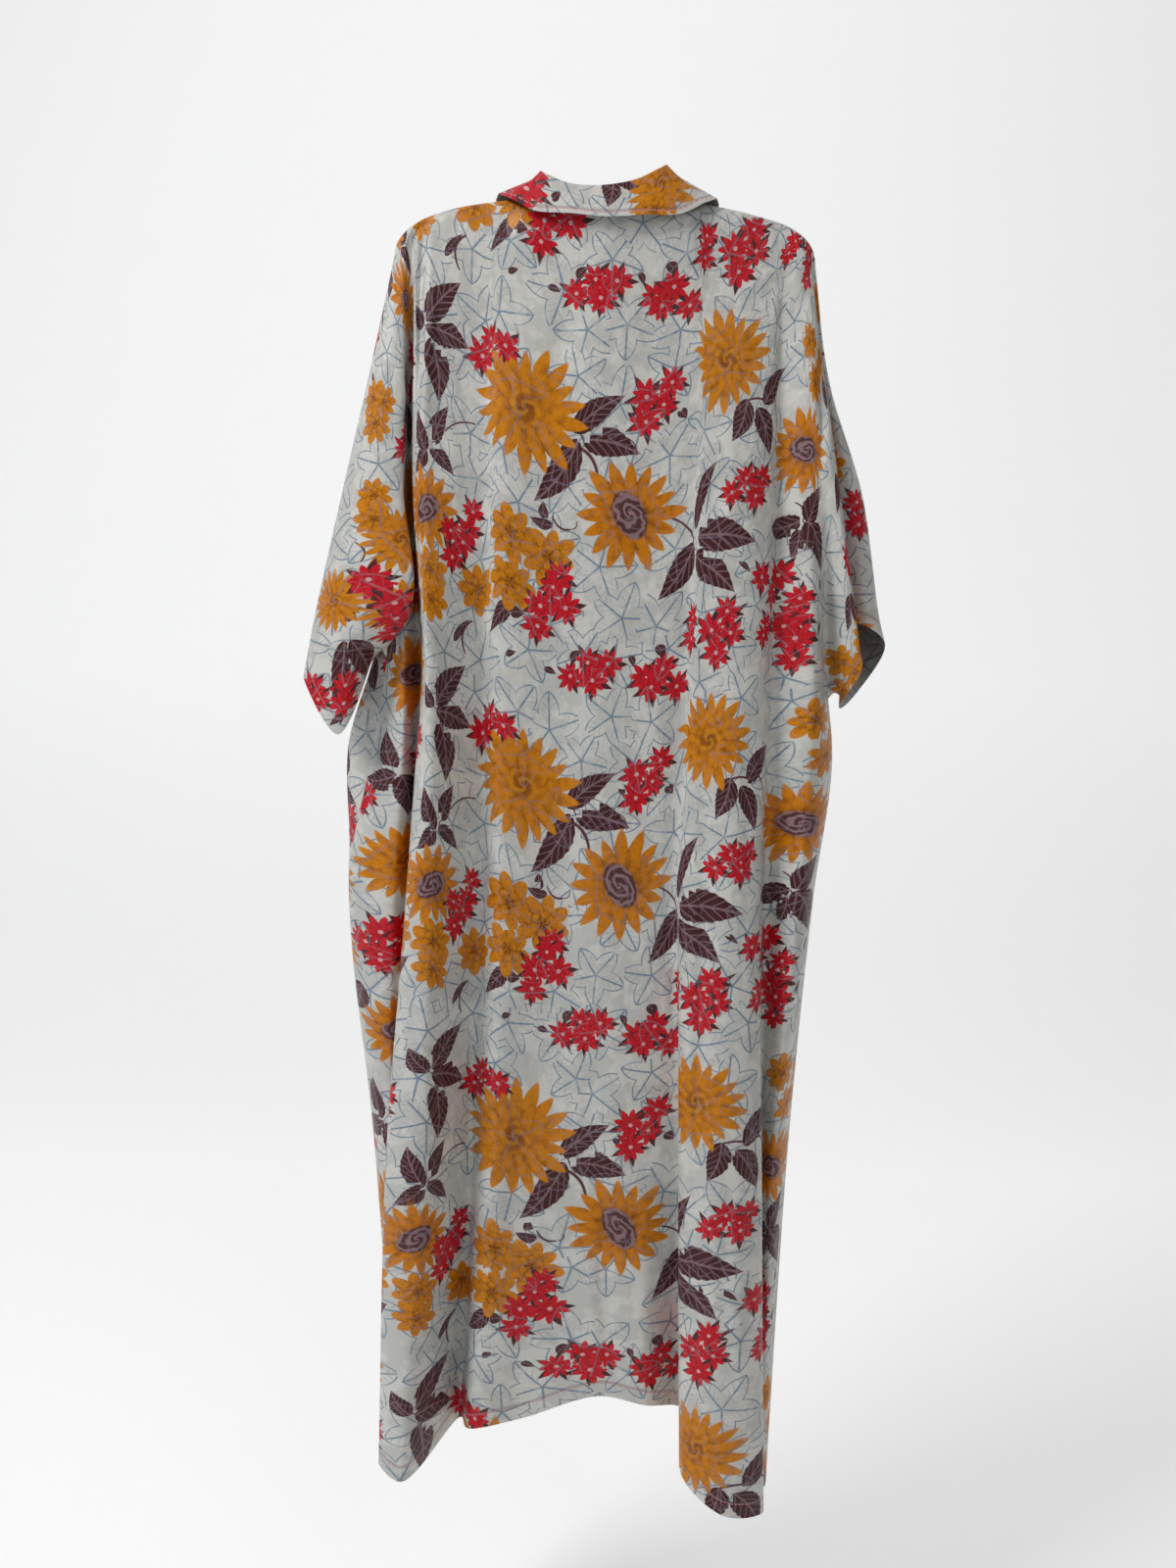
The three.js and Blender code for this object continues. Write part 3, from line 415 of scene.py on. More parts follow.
back_grid = with_creases(back_grid, BACK_CREASES, -1)
front_grid = with_creases(front_grid, FRONT_CREASES, 1)
print(len(BACK_CREASES) + len(FRONT_CREASES), "creases")

# %% [markdown]
# The real cloth is printed before it is sewn, so the print follows the flat cloth. Blender could unwrap the
# mesh, but an unwrap turns and sizes its islands as they fit. The grid knows its own middle, so each point's
# place is measured along its row and column: across from the middle, and down from the neck.

# %% Places on the flat cloth
PRINT_EASED_ROWS = 10  # near the shoulders, the print keeps its own width where the folds crowd
WIDTHS_FROM_ROW = 3  # the rows above lie too close on the shoulder to give the cloth's width
HIP_ROW = 20


def flat_places(grid, middle_column):
    """Across and down in metres, and the height over the lower edge."""
    across = np.linalg.norm(np.diff(grid, axis=1), axis=2)
    widths = np.nanmean(across[WIDTHS_FROM_ROW * ROW_PARTS:], axis=0)
    u = np.concatenate([[0], np.cumsum(widths)])
    u -= u[middle_column]
    own = np.concatenate([np.zeros((len(grid), 1)), np.cumsum(np.nan_to_num(across), axis=1)], 1)
    own -= own[:, middle_column:middle_column + 1]
    near_top = np.clip(1 - ROWS / PRINT_EASED_ROWS, 0, 1)[:, None] ** 1.5
    u = u + (own - u) * near_top
    down = np.linalg.norm(np.diff(grid, axis=0), axis=2)
    down = np.concatenate([-grid[:1, :, 2], np.nan_to_num(down)], 0)
    v = np.cumsum(down, axis=0)
    cloth = ~np.isnan(grid[..., 0])
    over = np.where(cloth, v, -np.inf).max(0) - v
    return np.stack([u, v], -1) / MM_PER_M, over / MM_PER_M


back_middle = int(np.argmin(np.abs(back_grid[0, :, 0])))
front_middle = int(np.argmin(np.abs(front_grid[0, :, 0])))
back_flat, back_over = flat_places(back_grid, back_middle)
front_flat, front_over = flat_places(front_grid, front_middle)
for name, flat, panel in (("back", back_flat, back_panel), ("front", front_flat, front_panel)):
    body = flat[HIP_ROW * ROW_PARTS, panel.columns[1]:panel.columns[2] + 1, 0]
    sleeves = flat[PRINT_EASED_ROWS * ROW_PARTS, :, 0]
    print(f"{name}: {body[-1] - body[0]:.3f} m across the body,",
          f"{sleeves[-1] - sleeves[0]:.3f} m from cuff to cuff")

# %% [markdown]
# The print is charted on the flat cloth, in millimetres across and down from the middle of the back
# of the neck. An image would be the usual way to print a cloth, but it blurs close up and can't be changed
# motif by motif. So each row here is one motif, and one repeat is 400 mm long. A point of the cloth shows
# one motif of each kind, the nearest. So flowers that overlap their neighbours are charted in two kinds.

# %% The print's chart
REPEAT = 400
Spot = namedtuple("Spot", "across down size turn")  # size: half the motif's width; turn in degrees
Strip = namedtuple("Strip", "across down to_across to_down width")  # a leaf or stem, from base to tip
PRINT = {
    "sunflower": [
        Spot(32, 330, 59, 0), Spot(284, 275, 46, 40), Spot(-223, 358, 45, 100), Spot(-297, 128, 44, 60),
    ],
    "dahlia": [
        Spot(-86, 228, 68, 10), Spot(153, 176, 55, 70), Spot(-376, 378, 36, 50), Spot(-427, 444, 34, 20),
        Spot(-300, 335, 46, 30), Spot(-372, 52, 34, 0), Spot(408, 470, 40, 15),
    ],
    "posy_a": [
        Spot(-101, 363, 26, 10), Spot(-101, 415, 24, 40), Spot(291, 162, 18, 0), Spot(307, 205, 17, 20),
        Spot(-400, 228, 18, 0), Spot(-397, 332, 16, 30), Spot(-153, 426, 20, 0), Spot(348, 502, 15, 10),
        Spot(-220, 420, 21, 15), Spot(398, 255, 20, 0), Spot(-268, 412, 18, 30), Spot(395, 90, 19, 20),
    ],
    "posy_b": [
        Spot(-60, 377, 26, 30), Spot(-152, 425, 21, 5), Spot(351, 136, 13, 40), Spot(332, 179, 16, 10),
        Spot(-383, 234, 15, 50), Spot(-395, 256, 18, 20), Spot(-397, 356, 16, 0), Spot(-219, 451, 19, 40),
        Spot(417, 284, 18, 10), Spot(-284, 444, 20, 0), Spot(372, 112, 18, 45),
    ],
    "blossom_a": [
        Spot(47, 207, 15, 0), Spot(66, 216, 13, 20), Spot(169, 315, 12, 0), Spot(208, 302, 12, 10),
        Spot(-47, 397, 14, 0), Spot(-68, 430, 15, 15), Spot(-71, 452, 14, 0), Spot(-11, 486, 13, 0),
        Spot(-32, 501, 13, 30), Spot(54, 503, 14, 10), Spot(92, 518, 13, 0), Spot(115, 447, 12, 0),
        Spot(150, 459, 15, 25), Spot(174, 462, 13, 0), Spot(-145, 180, 15, 0), Spot(-132, 163, 13, 10),
        Spot(-159, 345, 11, 0), Spot(-165, 366, 13, 20), Spot(-187, 399, 13, 0), Spot(216, 405, 13, 0),
        Spot(244, 424, 13, 10), Spot(274, 450, 14, 0), Spot(274, 494, 12, 0), Spot(279, 430, 11, 30),
        Spot(-406, 136, 13, 0), Spot(-395, 427, 13, 10),
        Spot(-381, 445, 13, 0), Spot(-370, 488, 12, 0), Spot(446, 325, 12, 0), Spot(230, 456, 12, 0),
        Spot(223, 467, 10, 0), Spot(-443, 541, 13, 0), Spot(-318, 14, 14, 0), Spot(-296, 36, 13, 20),
        Spot(-270, 212, 13, 10), Spot(-331, 430, 13, 0), Spot(372, 390, 13, 15), Spot(398, 372, 13, 0),
        Spot(-262, 196, 12, 0), Spot(420, 160, 13, 0), Spot(400, 20, 13, 25), Spot(-345, 268, 12, 0),
    ],
    "blossom_b": [
        Spot(75, 194, 13, 0), Spot(47, 233, 14, 10), Spot(186, 300, 12, 20), Spot(200, 319, 13, 0),
        Spot(-39, 429, 15, 30), Spot(-54, 408, 12, 0), Spot(12, 487, 14, 20), Spot(-5, 505, 14, 0),
        Spot(74, 495, 14, 40), Spot(61, 513, 13, 10), Spot(112, 470, 13, 0), Spot(169, 439, 13, 10),
        Spot(157, 483, 14, 0), Spot(-108, 171, 13, 0), Spot(-189, 372, 12, 0), Spot(-172, 380, 13, 10),
        Spot(261, 403, 13, 0), Spot(275, 472, 14, 10), Spot(266, 458, 12, 0), Spot(-406, 156, 13, 0),
        Spot(-399, 420, 13, 30), Spot(-376, 464, 13, 20), Spot(445, 349, 13, 0),
        Spot(199, 310, 10, 0), Spot(-434, 554, 12, 0), Spot(-298, 10, 14, 10), Spot(-318, 40, 13, 0),
        Spot(-284, 224, 13, 30), Spot(-318, 446, 13, 20), Spot(386, 402, 13, 0), Spot(384, 376, 12, 30),
        Spot(-276, 184, 12, 10), Spot(436, 174, 12, 20), Spot(420, 32, 12, 0), Spot(-357, 284, 12, 10),
    ],
    "leaf": [
        Strip(-318, 230, -330, 190, 22), Strip(-316, 236, -352, 252, 22), Strip(-310, 238, -300, 284, 24),
        Strip(-276, 66, -248, 40, 20), Strip(-280, 72, -262, 104, 20), Strip(-338, 84, -352, 120, 20),
        Strip(366, 300, 350, 340, 22), Strip(372, 302, 396, 342, 24), Strip(352, 228, 340, 190, 20),
        Strip(404, 418, 436, 402, 20), Strip(360, 30, 350, 66, 22), Strip(366, 28, 384, 62, 20),
        Strip(-30, 243, 22, 207, 25), Strip(-19, 253, 39, 266, 30), Strip(-29, 255, -74, 319, 30),
        Strip(111, 351, 146, 284, 21), Strip(125, 361, 200, 367, 34), Strip(105, 372, 67, 419, 28),
        Strip(118, 382, 175, 418, 32), Strip(206, 222, 247, 187, 24), Strip(180, 219, 166, 260, 24),
        Strip(196, 229, 218, 276, 23), Strip(-56, 343, -79, 339, 11), Strip(-63, 337, -65, 320, 10),
        Strip(-104, 438, -131, 471, 16), Strip(-101, 448, -86, 444, 12), Strip(-213, 160, -170, 112, 25),
        Strip(-221, 165, -239, 141, 19), Strip(-213, 169, -163, 176, 30), Strip(-210, 182, -204, 240, 29),
        Strip(-221, 296, -235, 253, 19), Strip(-211, 287, -191, 245, 18), Strip(-221, 297, -244, 319, 17),
        Strip(-214, 294, -185, 313, 17), Strip(287, 350, 311, 316, 23), Strip(279, 348, 234, 352, 22),
        Strip(278, 358, 271, 386, 16), Strip(286, 352, 311, 403, 29), Strip(-412, 490, -417, 558, 21),
        Strip(-404, 489, -376, 548, 21), Strip(-410, 465, -411, 443, 15), Strip(-185, 486, -164, 460, 8),
        Strip(-203, 436, -204, 416, 10), Strip(306, 423, 310, 409, 6), Strip(298, 471, 305, 456, 7),
        Strip(246, 63, 250, 46, 10), Strip(291, 476, 283, 463, 8), Strip(-406, 164, -419, 181, 8),
        Strip(-400, 210, -407, 197, 5), Strip(69, 224, 82, 223, 8), Strip(28, 221, 33, 231, 7),
        Strip(-31, 485, -20, 474, 10), Strip(-63, 496, -50, 500, 7), Strip(36, 478, 40, 490, 7),
        Strip(66, 470, 76, 484, 11), Strip(189, 463, 186, 458, 8), Strip(182, 387, 197, 399, 6),
        Strip(-105, 494, -95, 487, 6), Strip(180, 440, 196, 431, 4), Strip(83, 226, 92, 235, 10),
    ],
    "stem": [
        Strip(-35, 255, -1, 291, 11), Strip(-37, 238, -19, 255, 5), Strip(27, 248, 39, 266, 4),
        Strip(81, 335, 109, 372, 6), Strip(176, 218, 216, 224, 7), Strip(212, 208, 238, 243, 6),
        Strip(-31, 347, -56, 337, 7), Strip(-26, 338, -34, 347, 4), Strip(138, 421, 143, 458, 2),
        Strip(-137, 405, -122, 397, 3), Strip(-218, 164, -209, 182, 5), Strip(-195, 268, -157, 251, 5),
        Strip(-219, 284, -221, 299, 4), Strip(-173, 495, -164, 460, 8), Strip(276, 328, 283, 349, 5),
        Strip(283, 349, 285, 379, 4), Strip(-214, 294, -208, 284, 4), Strip(-409, 381, -403, 400, 5),
    ],
}
print("motifs in a repeat:", {kind: len(rows) for kind, rows in PRINT.items()})

# %% [markdown]
# A motif is drawn by the shader around its own middle. The shader could look through all motifs at every
# point of the cloth, but with so many of them that would be slow. So each corner of each face is told
# beforehand where it lies from the nearest motif of each kind, in that motif's own size and turn.

# %% The nearest motif
LEAF_REACH, LEAF_FULLNESS = 1.1, 1.12  # the outline fades a little inside its chart
REPEATS = range(-1, 5)
MOTIF_MARGIN = 150  # a motif this far past the cloth's ends can still reach it
FACES_AT_ONCE = 20000  # keeps the table of distances small
KINDS = tuple(PRINT)


def motif_frames(kind, low, high):
    """A kind's motifs between two heights: middle, turn, two half sizes in millimetres, and number."""
    rows = []
    for row in PRINT[kind]:
        for repeat in REPEATS:
            down = row.down + REPEAT * repeat
            if isinstance(row, Spot):
                middle, size, turn = (row.across, down), (row.size, row.size), math.radians(row.turn)
            else:
                reach = (row.to_across - row.across, row.to_down - row.down)
                middle = (row.across + reach[0] / 2, down + reach[1] / 2)
                size = math.hypot(*reach) / 2 * LEAF_REACH, row.width / 2 * LEAF_FULLNESS
                turn = math.atan2(-reach[1], reach[0])
            if low - MOTIF_MARGIN < middle[1] < high + MOTIF_MARGIN:
                rows.append((*middle, turn, *size, len(rows)))
    return np.array(rows)


def motif_places(kind, corners, shift):
    """For each corner of each face: place from the nearest motif's middle, in its sizes, and its number."""
    corners = corners * MM_PER_M - shift
    rows = motif_frames(kind, corners[..., 1].min(), corners[..., 1].max())
    middle = corners.mean(1)
    reach = rows[:, 3]
    nearest = np.empty(len(middle), int)
    for start in range(0, len(middle), FACES_AT_ONCE):
        some = slice(start, start + FACES_AT_ONCE)
        apart = np.moveaxis(middle[some, None] - rows[:, :2], 2, 0)
        nearest[some] = (np.hypot(*apart) / reach).argmin(1)
    chosen = rows[nearest][:, None]
    off = corners - chosen[..., :2]
    cos, sin = np.cos(chosen[..., 2]), np.sin(chosen[..., 2])
    x = (off[..., 0] * cos - off[..., 1] * sin) / chosen[..., 3]
    y = (-off[..., 0] * sin - off[..., 1] * cos) / chosen[..., 4]
    number = np.broadcast_to(chosen[..., 5], x.shape)
    return np.stack([x, y, number], -1)


print(len(KINDS), "kinds of motif")

# %% [markdown]
# The real satin is about a quarter of a millimetre thick, with a right side and a duller wrong side. The
# material also paints the wrong side darker, as painted shade for the garment's hollow inside. A Solidify
# modifier could thicken the grid, but the shell has to know its wrong side and each point's height over the
# hem. So its wall is built here from outside, inside and rim, a little thicker than the real one.

# %% Walls of cloth
CLOTH = 0.5  # millimetres
SHARP_EDGE = 60  # degrees: the rim keeps its edges, and folds stay smooth
NEVER_ZERO = 1e-12


def normals_at(points, rings):
    """The direction outward at each point, from the faces round it."""
    a, b, c, d = (points[rings[:, k]] for k in range(4))
    normal = np.cross(c - a, d - b)
    normal /= np.linalg.norm(normal, axis=1)[:, None] + NEVER_ZERO
    normals = np.zeros_like(points)
    for k in range(4):
        np.add.at(normals, rings[:, k], normal)
    return normals / (np.linalg.norm(normals, axis=1)[:, None] + NEVER_ZERO)


def wall_faces(outer, count):
    """Faces outside, inside and round the rim. Each inner point is numbered count after its outer one."""
    starts, ends = outer.ravel(), np.roll(outer, -1, 1).ravel()
    rim = ~np.isin(starts * count + ends, ends * count + starts)
    rims = np.stack([ends[rim], starts[rim], starts[rim] + count, ends[rim] + count], 1)
    return np.concatenate([outer, outer[:, ::-1] + count, rims])


def wall_mesh(name, vertices, faces):
    mesh = bpy.data.meshes.new(name)
    mesh.vertices.add(len(vertices))
    mesh.vertices.foreach_set("co", vertices.ravel())
    mesh.loops.add(faces.size)
    mesh.loops.foreach_set("vertex_index", faces.ravel())
    mesh.polygons.add(len(faces))
    mesh.polygons.foreach_set("loop_start", np.arange(0, faces.size, 4))
    mesh.update(calc_edges=True)
    mesh.polygons.foreach_set("use_smooth", np.ones(len(faces), bool))
    mesh.set_sharp_from_angle(angle=math.radians(SHARP_EDGE))
    return mesh


print(f"the wall of cloth is {CLOTH} mm thick")

# %% [markdown]
# A shell also carries what its material asks for: each corner's place on the flat cloth and from the
# motifs, which side is the wrong side, and the height over the lower edge. These could be worked out in the
# shader from the shape, but the folds would bend them. As attributes of the mesh they stay with the cloth.

# %% Shells of cloth
def cloth_shell(name, grid, side, flat, over, material, shift=(0, 0), keep=None, parted=True):
    """A thin closed wall on a grid of points, with the places that the print and hems need."""
    valid = ~np.isnan(grid[..., 0])
    cell = valid[:-1, :-1] & valid[1:, :-1] & valid[1:, 1:] & valid[:-1, 1:]
    if keep is not None:
        cell &= keep
    number = np.arange(valid.size).reshape(valid.shape)
    j, i = np.nonzero(cell)
    rings = np.stack([number[j, i], number[j + 1, i], number[j + 1, i + 1], number[j, i + 1]], 1)
    if side > 0:
        rings = rings[:, ::-1]
    points = grid.reshape(-1, 3)
    normals = normals_at(points, rings)
    if parted:
        points = points + np.array([0, side * SEAM_PARTING, 0])
    used = np.unique(rings)
    count = len(used)
    place = np.full(valid.size, -1)
    place[used] = np.arange(count)
    faces = wall_faces(place[rings], count)
    half = normals[used] * CLOTH / 2
    vertices = np.concatenate([points[used] + half, points[used] - half]) / MM_PER_M
    mesh = wall_mesh(name, vertices, faces)
    flat_of = flat.reshape(-1, 2)[used]
    corners = np.concatenate([flat_of, flat_of])[faces]
    mesh.uv_layers.new(name="flat_cloth").data.foreach_set("uv", corners.ravel())
    wrong = mesh.attributes.new("wrong_side", "FLOAT", "POINT")
    wrong.data.foreach_set("value", np.repeat([0.0, 1.0], count))
    edge = mesh.attributes.new("over_edge", "FLOAT", "POINT")
    edge.data.foreach_set("value", np.tile(over.reshape(-1)[used], 2))
    for kind in KINDS:
        made = mesh.attributes.new(kind, "FLOAT_VECTOR", "CORNER")
        made.data.foreach_set("vector", motif_places(kind, corners, shift).ravel())
    mesh.materials.append(material)
    shell = bpy.data.objects.new(name, mesh)
    bpy.context.scene.collection.objects.link(shell)
    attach(shell, "root")
    print(f"{name}: {len(faces) * 2:,} triangles")
    return shell


print("attributes on a shell:", len(KINDS) + 2)

# %% [markdown]
# Every drawing below is made of shader nodes. They could be joined one by one, but a formula then takes a
# page. So two helpers let it be written as a formula: a Value is an output of a node, and a Graph adds
# nodes to a tree and joins them.

# %% Formulas for shader nodes
class Value:
    """An output of a node. Arithmetic on it adds Math nodes."""

    def __init__(self, graph, socket):
        self.graph, self.socket = graph, socket

    def __add__(self, other):
        return self.graph.math("ADD", self, other)

    def __radd__(self, other):
        return self.graph.math("ADD", other, self)

    def __sub__(self, other):
        return self.graph.math("SUBTRACT", self, other)

    def __rsub__(self, other):
        return self.graph.math("SUBTRACT", other, self)

    def __mul__(self, other):
        return self.graph.math("MULTIPLY", self, other)

    def __truediv__(self, other):
        return self.graph.math("DIVIDE", self, other)

    def __pow__(self, other):
        return self.graph.math("POWER", self, other)

    def abs(self):
        return self.graph.math("ABSOLUTE", self)

    def sin(self):
        return self.graph.math("SINE", self)

    def clamped(self):
        return self.graph.math("ADD", self, 0.0, clamp=True)

    def clamped_low(self):
        return self.graph.math("MAXIMUM", self, 0.0)


class Graph:
    """Adds nodes to a tree and joins them."""

    def __init__(self, tree):
        self.tree = tree

    def node(self, kind, **settings):
        made = self.tree.nodes.new(kind)
        made.location = (190 * (len(self.tree.nodes) % 24), -170 * (len(self.tree.nodes) // 24))
        for name, value in settings.items():
            setattr(made, name, value)
        return made

    def feed(self, socket, value):
        if isinstance(value, Value):
            self.tree.links.new(value.socket, socket)
        else:
            socket.default_value = value

    def math(self, operation, *values, clamp=False):
        made = self.node("ShaderNodeMath", operation=operation, use_clamp=clamp)
        for socket, value in zip(made.inputs, values):
            self.feed(socket, value)
        return Value(self, made.outputs[0])

    def ramp(self, value, low, high, start=0.0, end=1.0):
        """A smooth step from start to end as value goes from low to high."""
        made = self.node("ShaderNodeMapRange", interpolation_type="SMOOTHSTEP")
        for socket, given in zip(made.inputs, (value, low, high, start, end)):
            self.feed(socket, given)
        return Value(self, made.outputs[0])

    def vector(self, x, y, z=0.0):
        made = self.node("ShaderNodeCombineXYZ")
        for socket, value in zip(made.inputs, (x, y, z)):
            self.feed(socket, value)
        return Value(self, made.outputs[0])

    def parts(self, vector):
        made = self.node("ShaderNodeSeparateXYZ")
        self.feed(made.inputs[0], vector)
        return [Value(self, socket) for socket in made.outputs]

    def vector_math(self, operation, *values, output=0):
        made = self.node("ShaderNodeVectorMath", operation=operation)
        for socket, value in zip(made.inputs, values):
            self.feed(socket, value)
        return Value(self, made.outputs[output])

    def mix(self, factor, a, b):
        made = self.node("ShaderNodeMix", data_type="RGBA")
        for socket, value in zip((made.inputs[0], made.inputs[6], made.inputs[7]), (factor, a, b)):
            self.feed(socket, value)
        return Value(self, made.outputs[2])

    def noise(self, vector, scale, detail=2.0, roughness=0.5):
        made = self.node("ShaderNodeTexNoise")
        self.feed(made.inputs["Vector"], vector)
        for name, value in (("Scale", scale), ("Detail", detail), ("Roughness", roughness)):
            self.feed(made.inputs[name], value)
        return Value(self, made.outputs[0])

    def chance(self, number):
        """A steady random value for a whole number."""
        made = self.node("ShaderNodeTexWhiteNoise", noise_dimensions="1D")
        self.feed(made.inputs["W"], number)
        return Value(self, made.outputs[0])

    def use(self, group, **values):
        made = self.node("ShaderNodeGroup", node_tree=group)
        for name, value in values.items():
            self.feed(made.inputs[name], value)
        return {socket.name: Value(self, socket) for socket in made.outputs}


print("formulas may use + - * / **,", ", ".join(name for name in vars(Value) if name[0] != "_"))

# %% [markdown]
# A drawing that several materials use is a node group, built once. Its sockets are named, so that a material
# shows which values it gives. Colours are written as the usual six-figure codes and made linear here,
# because a shader's own sockets take linear colours.

# %% Groups and colours
SOCKETS = {"value": "NodeSocketFloat", "vector": "NodeSocketVector", "colour": "NodeSocketColor"}


def colour(code):
    """A colour for a shader, from the usual six-figure code."""
    parts = [int(code[k:k + 2], 16) / 255 for k in (0, 2, 4)]
    return (*(p / 12.92 if p <= 0.04045 else ((p + 0.055) / 1.055) ** 2.4 for p in parts), 1.0)


def node_group(name, inputs, outputs, make):
    """Builds a group once. inputs: name -> (kind, usual value); outputs: name -> kind."""
    tree = bpy.data.node_groups.new(name, "ShaderNodeTree")
    for label, (kind, usual) in inputs.items():
        socket = tree.interface.new_socket(label, in_out="INPUT", socket_type=SOCKETS[kind])
        if usual is not None:
            socket.default_value = usual
    for label, kind in outputs.items():
        tree.interface.new_socket(label, in_out="OUTPUT", socket_type=SOCKETS[kind])
    graph = Graph(tree)
    given = graph.node("NodeGroupInput")
    results = make(graph, **{label: Value(graph, given.outputs[label]) for label in inputs})
    out = graph.node("NodeGroupOutput")
    for label, result in zip(outputs, results):
        graph.feed(out.inputs[label], result)
    return tree


print("kinds of socket:", ", ".join(SOCKETS))

# %% [markdown]
# A printed flower is one or more rings of painted petals. Petals could be cut from thin meshes, but a
# print lies in the cloth and bends with it. So one group draws a ring: the angle round the middle, split
# into equal shares, gives the petals, and each has its own length. A leaf or stem is drawn along its own
# middle line.

# %% Petals, leaves and stems
def petal_ring(g, place, petals, length, notch, point, phase):
    x, y, number = g.parts(place)
    share = g.math("ARCTAN2", y, x) * petals / (2 * math.pi) + phase
    petal = g.math("ROUND", share)
    across = (share - petal).abs() * 2
    own = g.math("FLOORED_MODULO", petal, petals) + number * 37
    uneven = g.chance(own) * 0.2 + 0.8
    edge = length * uneven * (1 - notch * across**point)
    r = g.vector_math("LENGTH", g.vector(x, y), output=1)
    along = g.ramp(r, edge * 0.2, edge, 0, 0.45)
    strokes = (across * 19).sin() * 0.09
    shade = (1 - across * across) * 0.5 + along * 1.25 + strokes
    return g.ramp(r, edge * 0.93, edge, 1, 0), shade.clamped()


def leaf_shape(g, place):
    """From the base at x = -1 to the tip at x = 1, a little bowed, with a midrib and side veins."""
    x, y, number = g.parts(place)
    side = y - (1 - x * x) * 0.3
    taper = (1 - x).clamped_low() ** 1.2 * (1 + x).clamped_low() ** 0.7 * 0.96
    jagged = (x * 26 + number).sin() * 0.035 + 1
    width = taper * jagged + 0.001
    mask = g.ramp(side.abs(), width * 0.9, width, 1, 0)
    rib = g.ramp(side.abs(), 0.04, 0.1, 1, 0)
    veins = g.ramp(((x * 1.1 - side.abs() * 0.75) * 17).sin(), 0.62, 0.95)
    return mask, (rib + veins * 0.75).clamped()


def stem_shape(g, place):
    x, y = g.parts(place)[:2]
    off = (y - (1 - x * x) * 2 + 1).abs()
    return g.ramp(off, 0.22, 0.4, 1, 0) * g.ramp(x.abs(), 0.94, 1.0, 1, 0),


ONE_PLACE = {"place": ("vector", None)}
PETALS = node_group("Petal ring", {
    "place": ("vector", None), "petals": ("value", 12), "length": ("value", 1), "notch": ("value", 0.5),
    "point": ("value", 2), "phase": ("value", 0)}, {"mask": "value", "shade": "value"}, petal_ring)
LEAF = node_group("Leaf", ONE_PLACE, {"mask": "value", "veins": "value"}, leaf_shape)
STEM = node_group("Stem", ONE_PLACE, {"mask": "value"}, stem_shape)
print("groups:", ", ".join(group.name for group in bpy.data.node_groups))

# %% [markdown]
# Four flowers use that ring: a wide sunflower with a mauve middle, a full dahlia with a curled heart, a
# small orange posy flower, and a ragged red blossom with dark sepals. One group with many switches could
# draw all four, but a group for each kind is easier to read and to change.

# %% Flowers
def rings_of(g, place, rings, dark, light):
    """Petal rings laid on one another, from the widest to the smallest."""
    drawn, whole = None, None
    painted = g.noise(place, 6.0, 2.0, 0.6) * 1.3 - 0.67
    for petals, length, notch, point, phase in rings:
        ring = g.use(PETALS, place=place, petals=petals, length=length, notch=notch, point=point,
                     phase=phase)
        petal = g.mix((ring["shade"] + painted).clamped(), dark, light)
        drawn = petal if drawn is None else g.mix(ring["mask"], drawn, petal)
        whole = ring["mask"] if whole is None else whole
    return drawn, whole


def sunflower(g, place):
    rings = [(16, 1.16, 0.36, 1.3, 0.0), (14, 1.0, 0.38, 1.4, 0.5), (12, 0.76, 0.38, 1.5, 0.2)]
    petals, mask = rings_of(g, place, rings, colour("4E2004"), colour("CC7A06"))
    x, y = g.parts(place)[:2]
    r = g.vector_math("LENGTH", g.vector(x * 1.35 + y * 0.4, y * 0.95), output=1)
    swirl = (r * 34 + g.math("ARCTAN2", y, x) * 2 + g.noise(place, 5.0, 1.0) * 9).sin()
    seeds = g.mix(g.ramp(swirl, -0.4, 0.9), colour("52302F"), colour("8E7074"))
    return g.mix(g.ramp(r, 0.37, 0.45, 1, 0), petals, seeds), mask


def dahlia(g, place):
    rings = [(18, 1.12, 0.34, 1.3, 0.0), (15, 0.94, 0.4, 1.4, 0.4), (13, 0.74, 0.42, 1.5, 0.1),
             (11, 0.54, 0.42, 1.6, 0.6), (8, 0.34, 0.4, 2.0, 0.3)]
    petals, mask = rings_of(g, place, rings, colour("522204"), colour("CE7E08"))
    x, y = g.parts(place)[:2]
    r = g.vector_math("LENGTH", g.vector(x, y * 1.15), output=1)
    curl = (r * 30 + g.math("ARCTAN2", y, x) * 2 + g.noise(place, 5.0, 1.0) * 4).sin()
    heart = g.mix(g.ramp(curl, -0.3, 0.8), colour("8A480A"), colour("CE8814"))
    return g.mix(g.ramp(r, 0.14, 0.38, 0.6, 0), petals, heart), mask


def posy_flower(g, place):
    rings = [(8, 1.45, 0.36, 1.6, 0.0), (7, 1.05, 0.38, 1.8, 0.4), (6, 0.6, 0.36, 2.0, 0.1)]
    return rings_of(g, place, rings, colour("562406"), colour("D0800A"))


def blossom(g, place):
    rings = [(9, 1.42, 0.46, 1.4, 0.0), (7, 0.95, 0.5, 1.4, 0.4), (5, 0.46, 0.4, 2.0, 0.1)]
    petals, mask = rings_of(g, place, rings, colour("640710"), colour("D01525"))
    r = g.vector_math("LENGTH", g.vector(*g.parts(place)[:2]), output=1)
    petals = g.mix(g.ramp(r, 0.12, 0.2, 1, 0), petals, colour("D9A0A0"))
    sepals = g.use(PETALS, place=place, petals=5, length=1.95, notch=0.86, point=0.75, phase=0.3)["mask"]
    return g.mix(mask, colour("4E2426"), petals), g.math("MAXIMUM", mask, sepals)


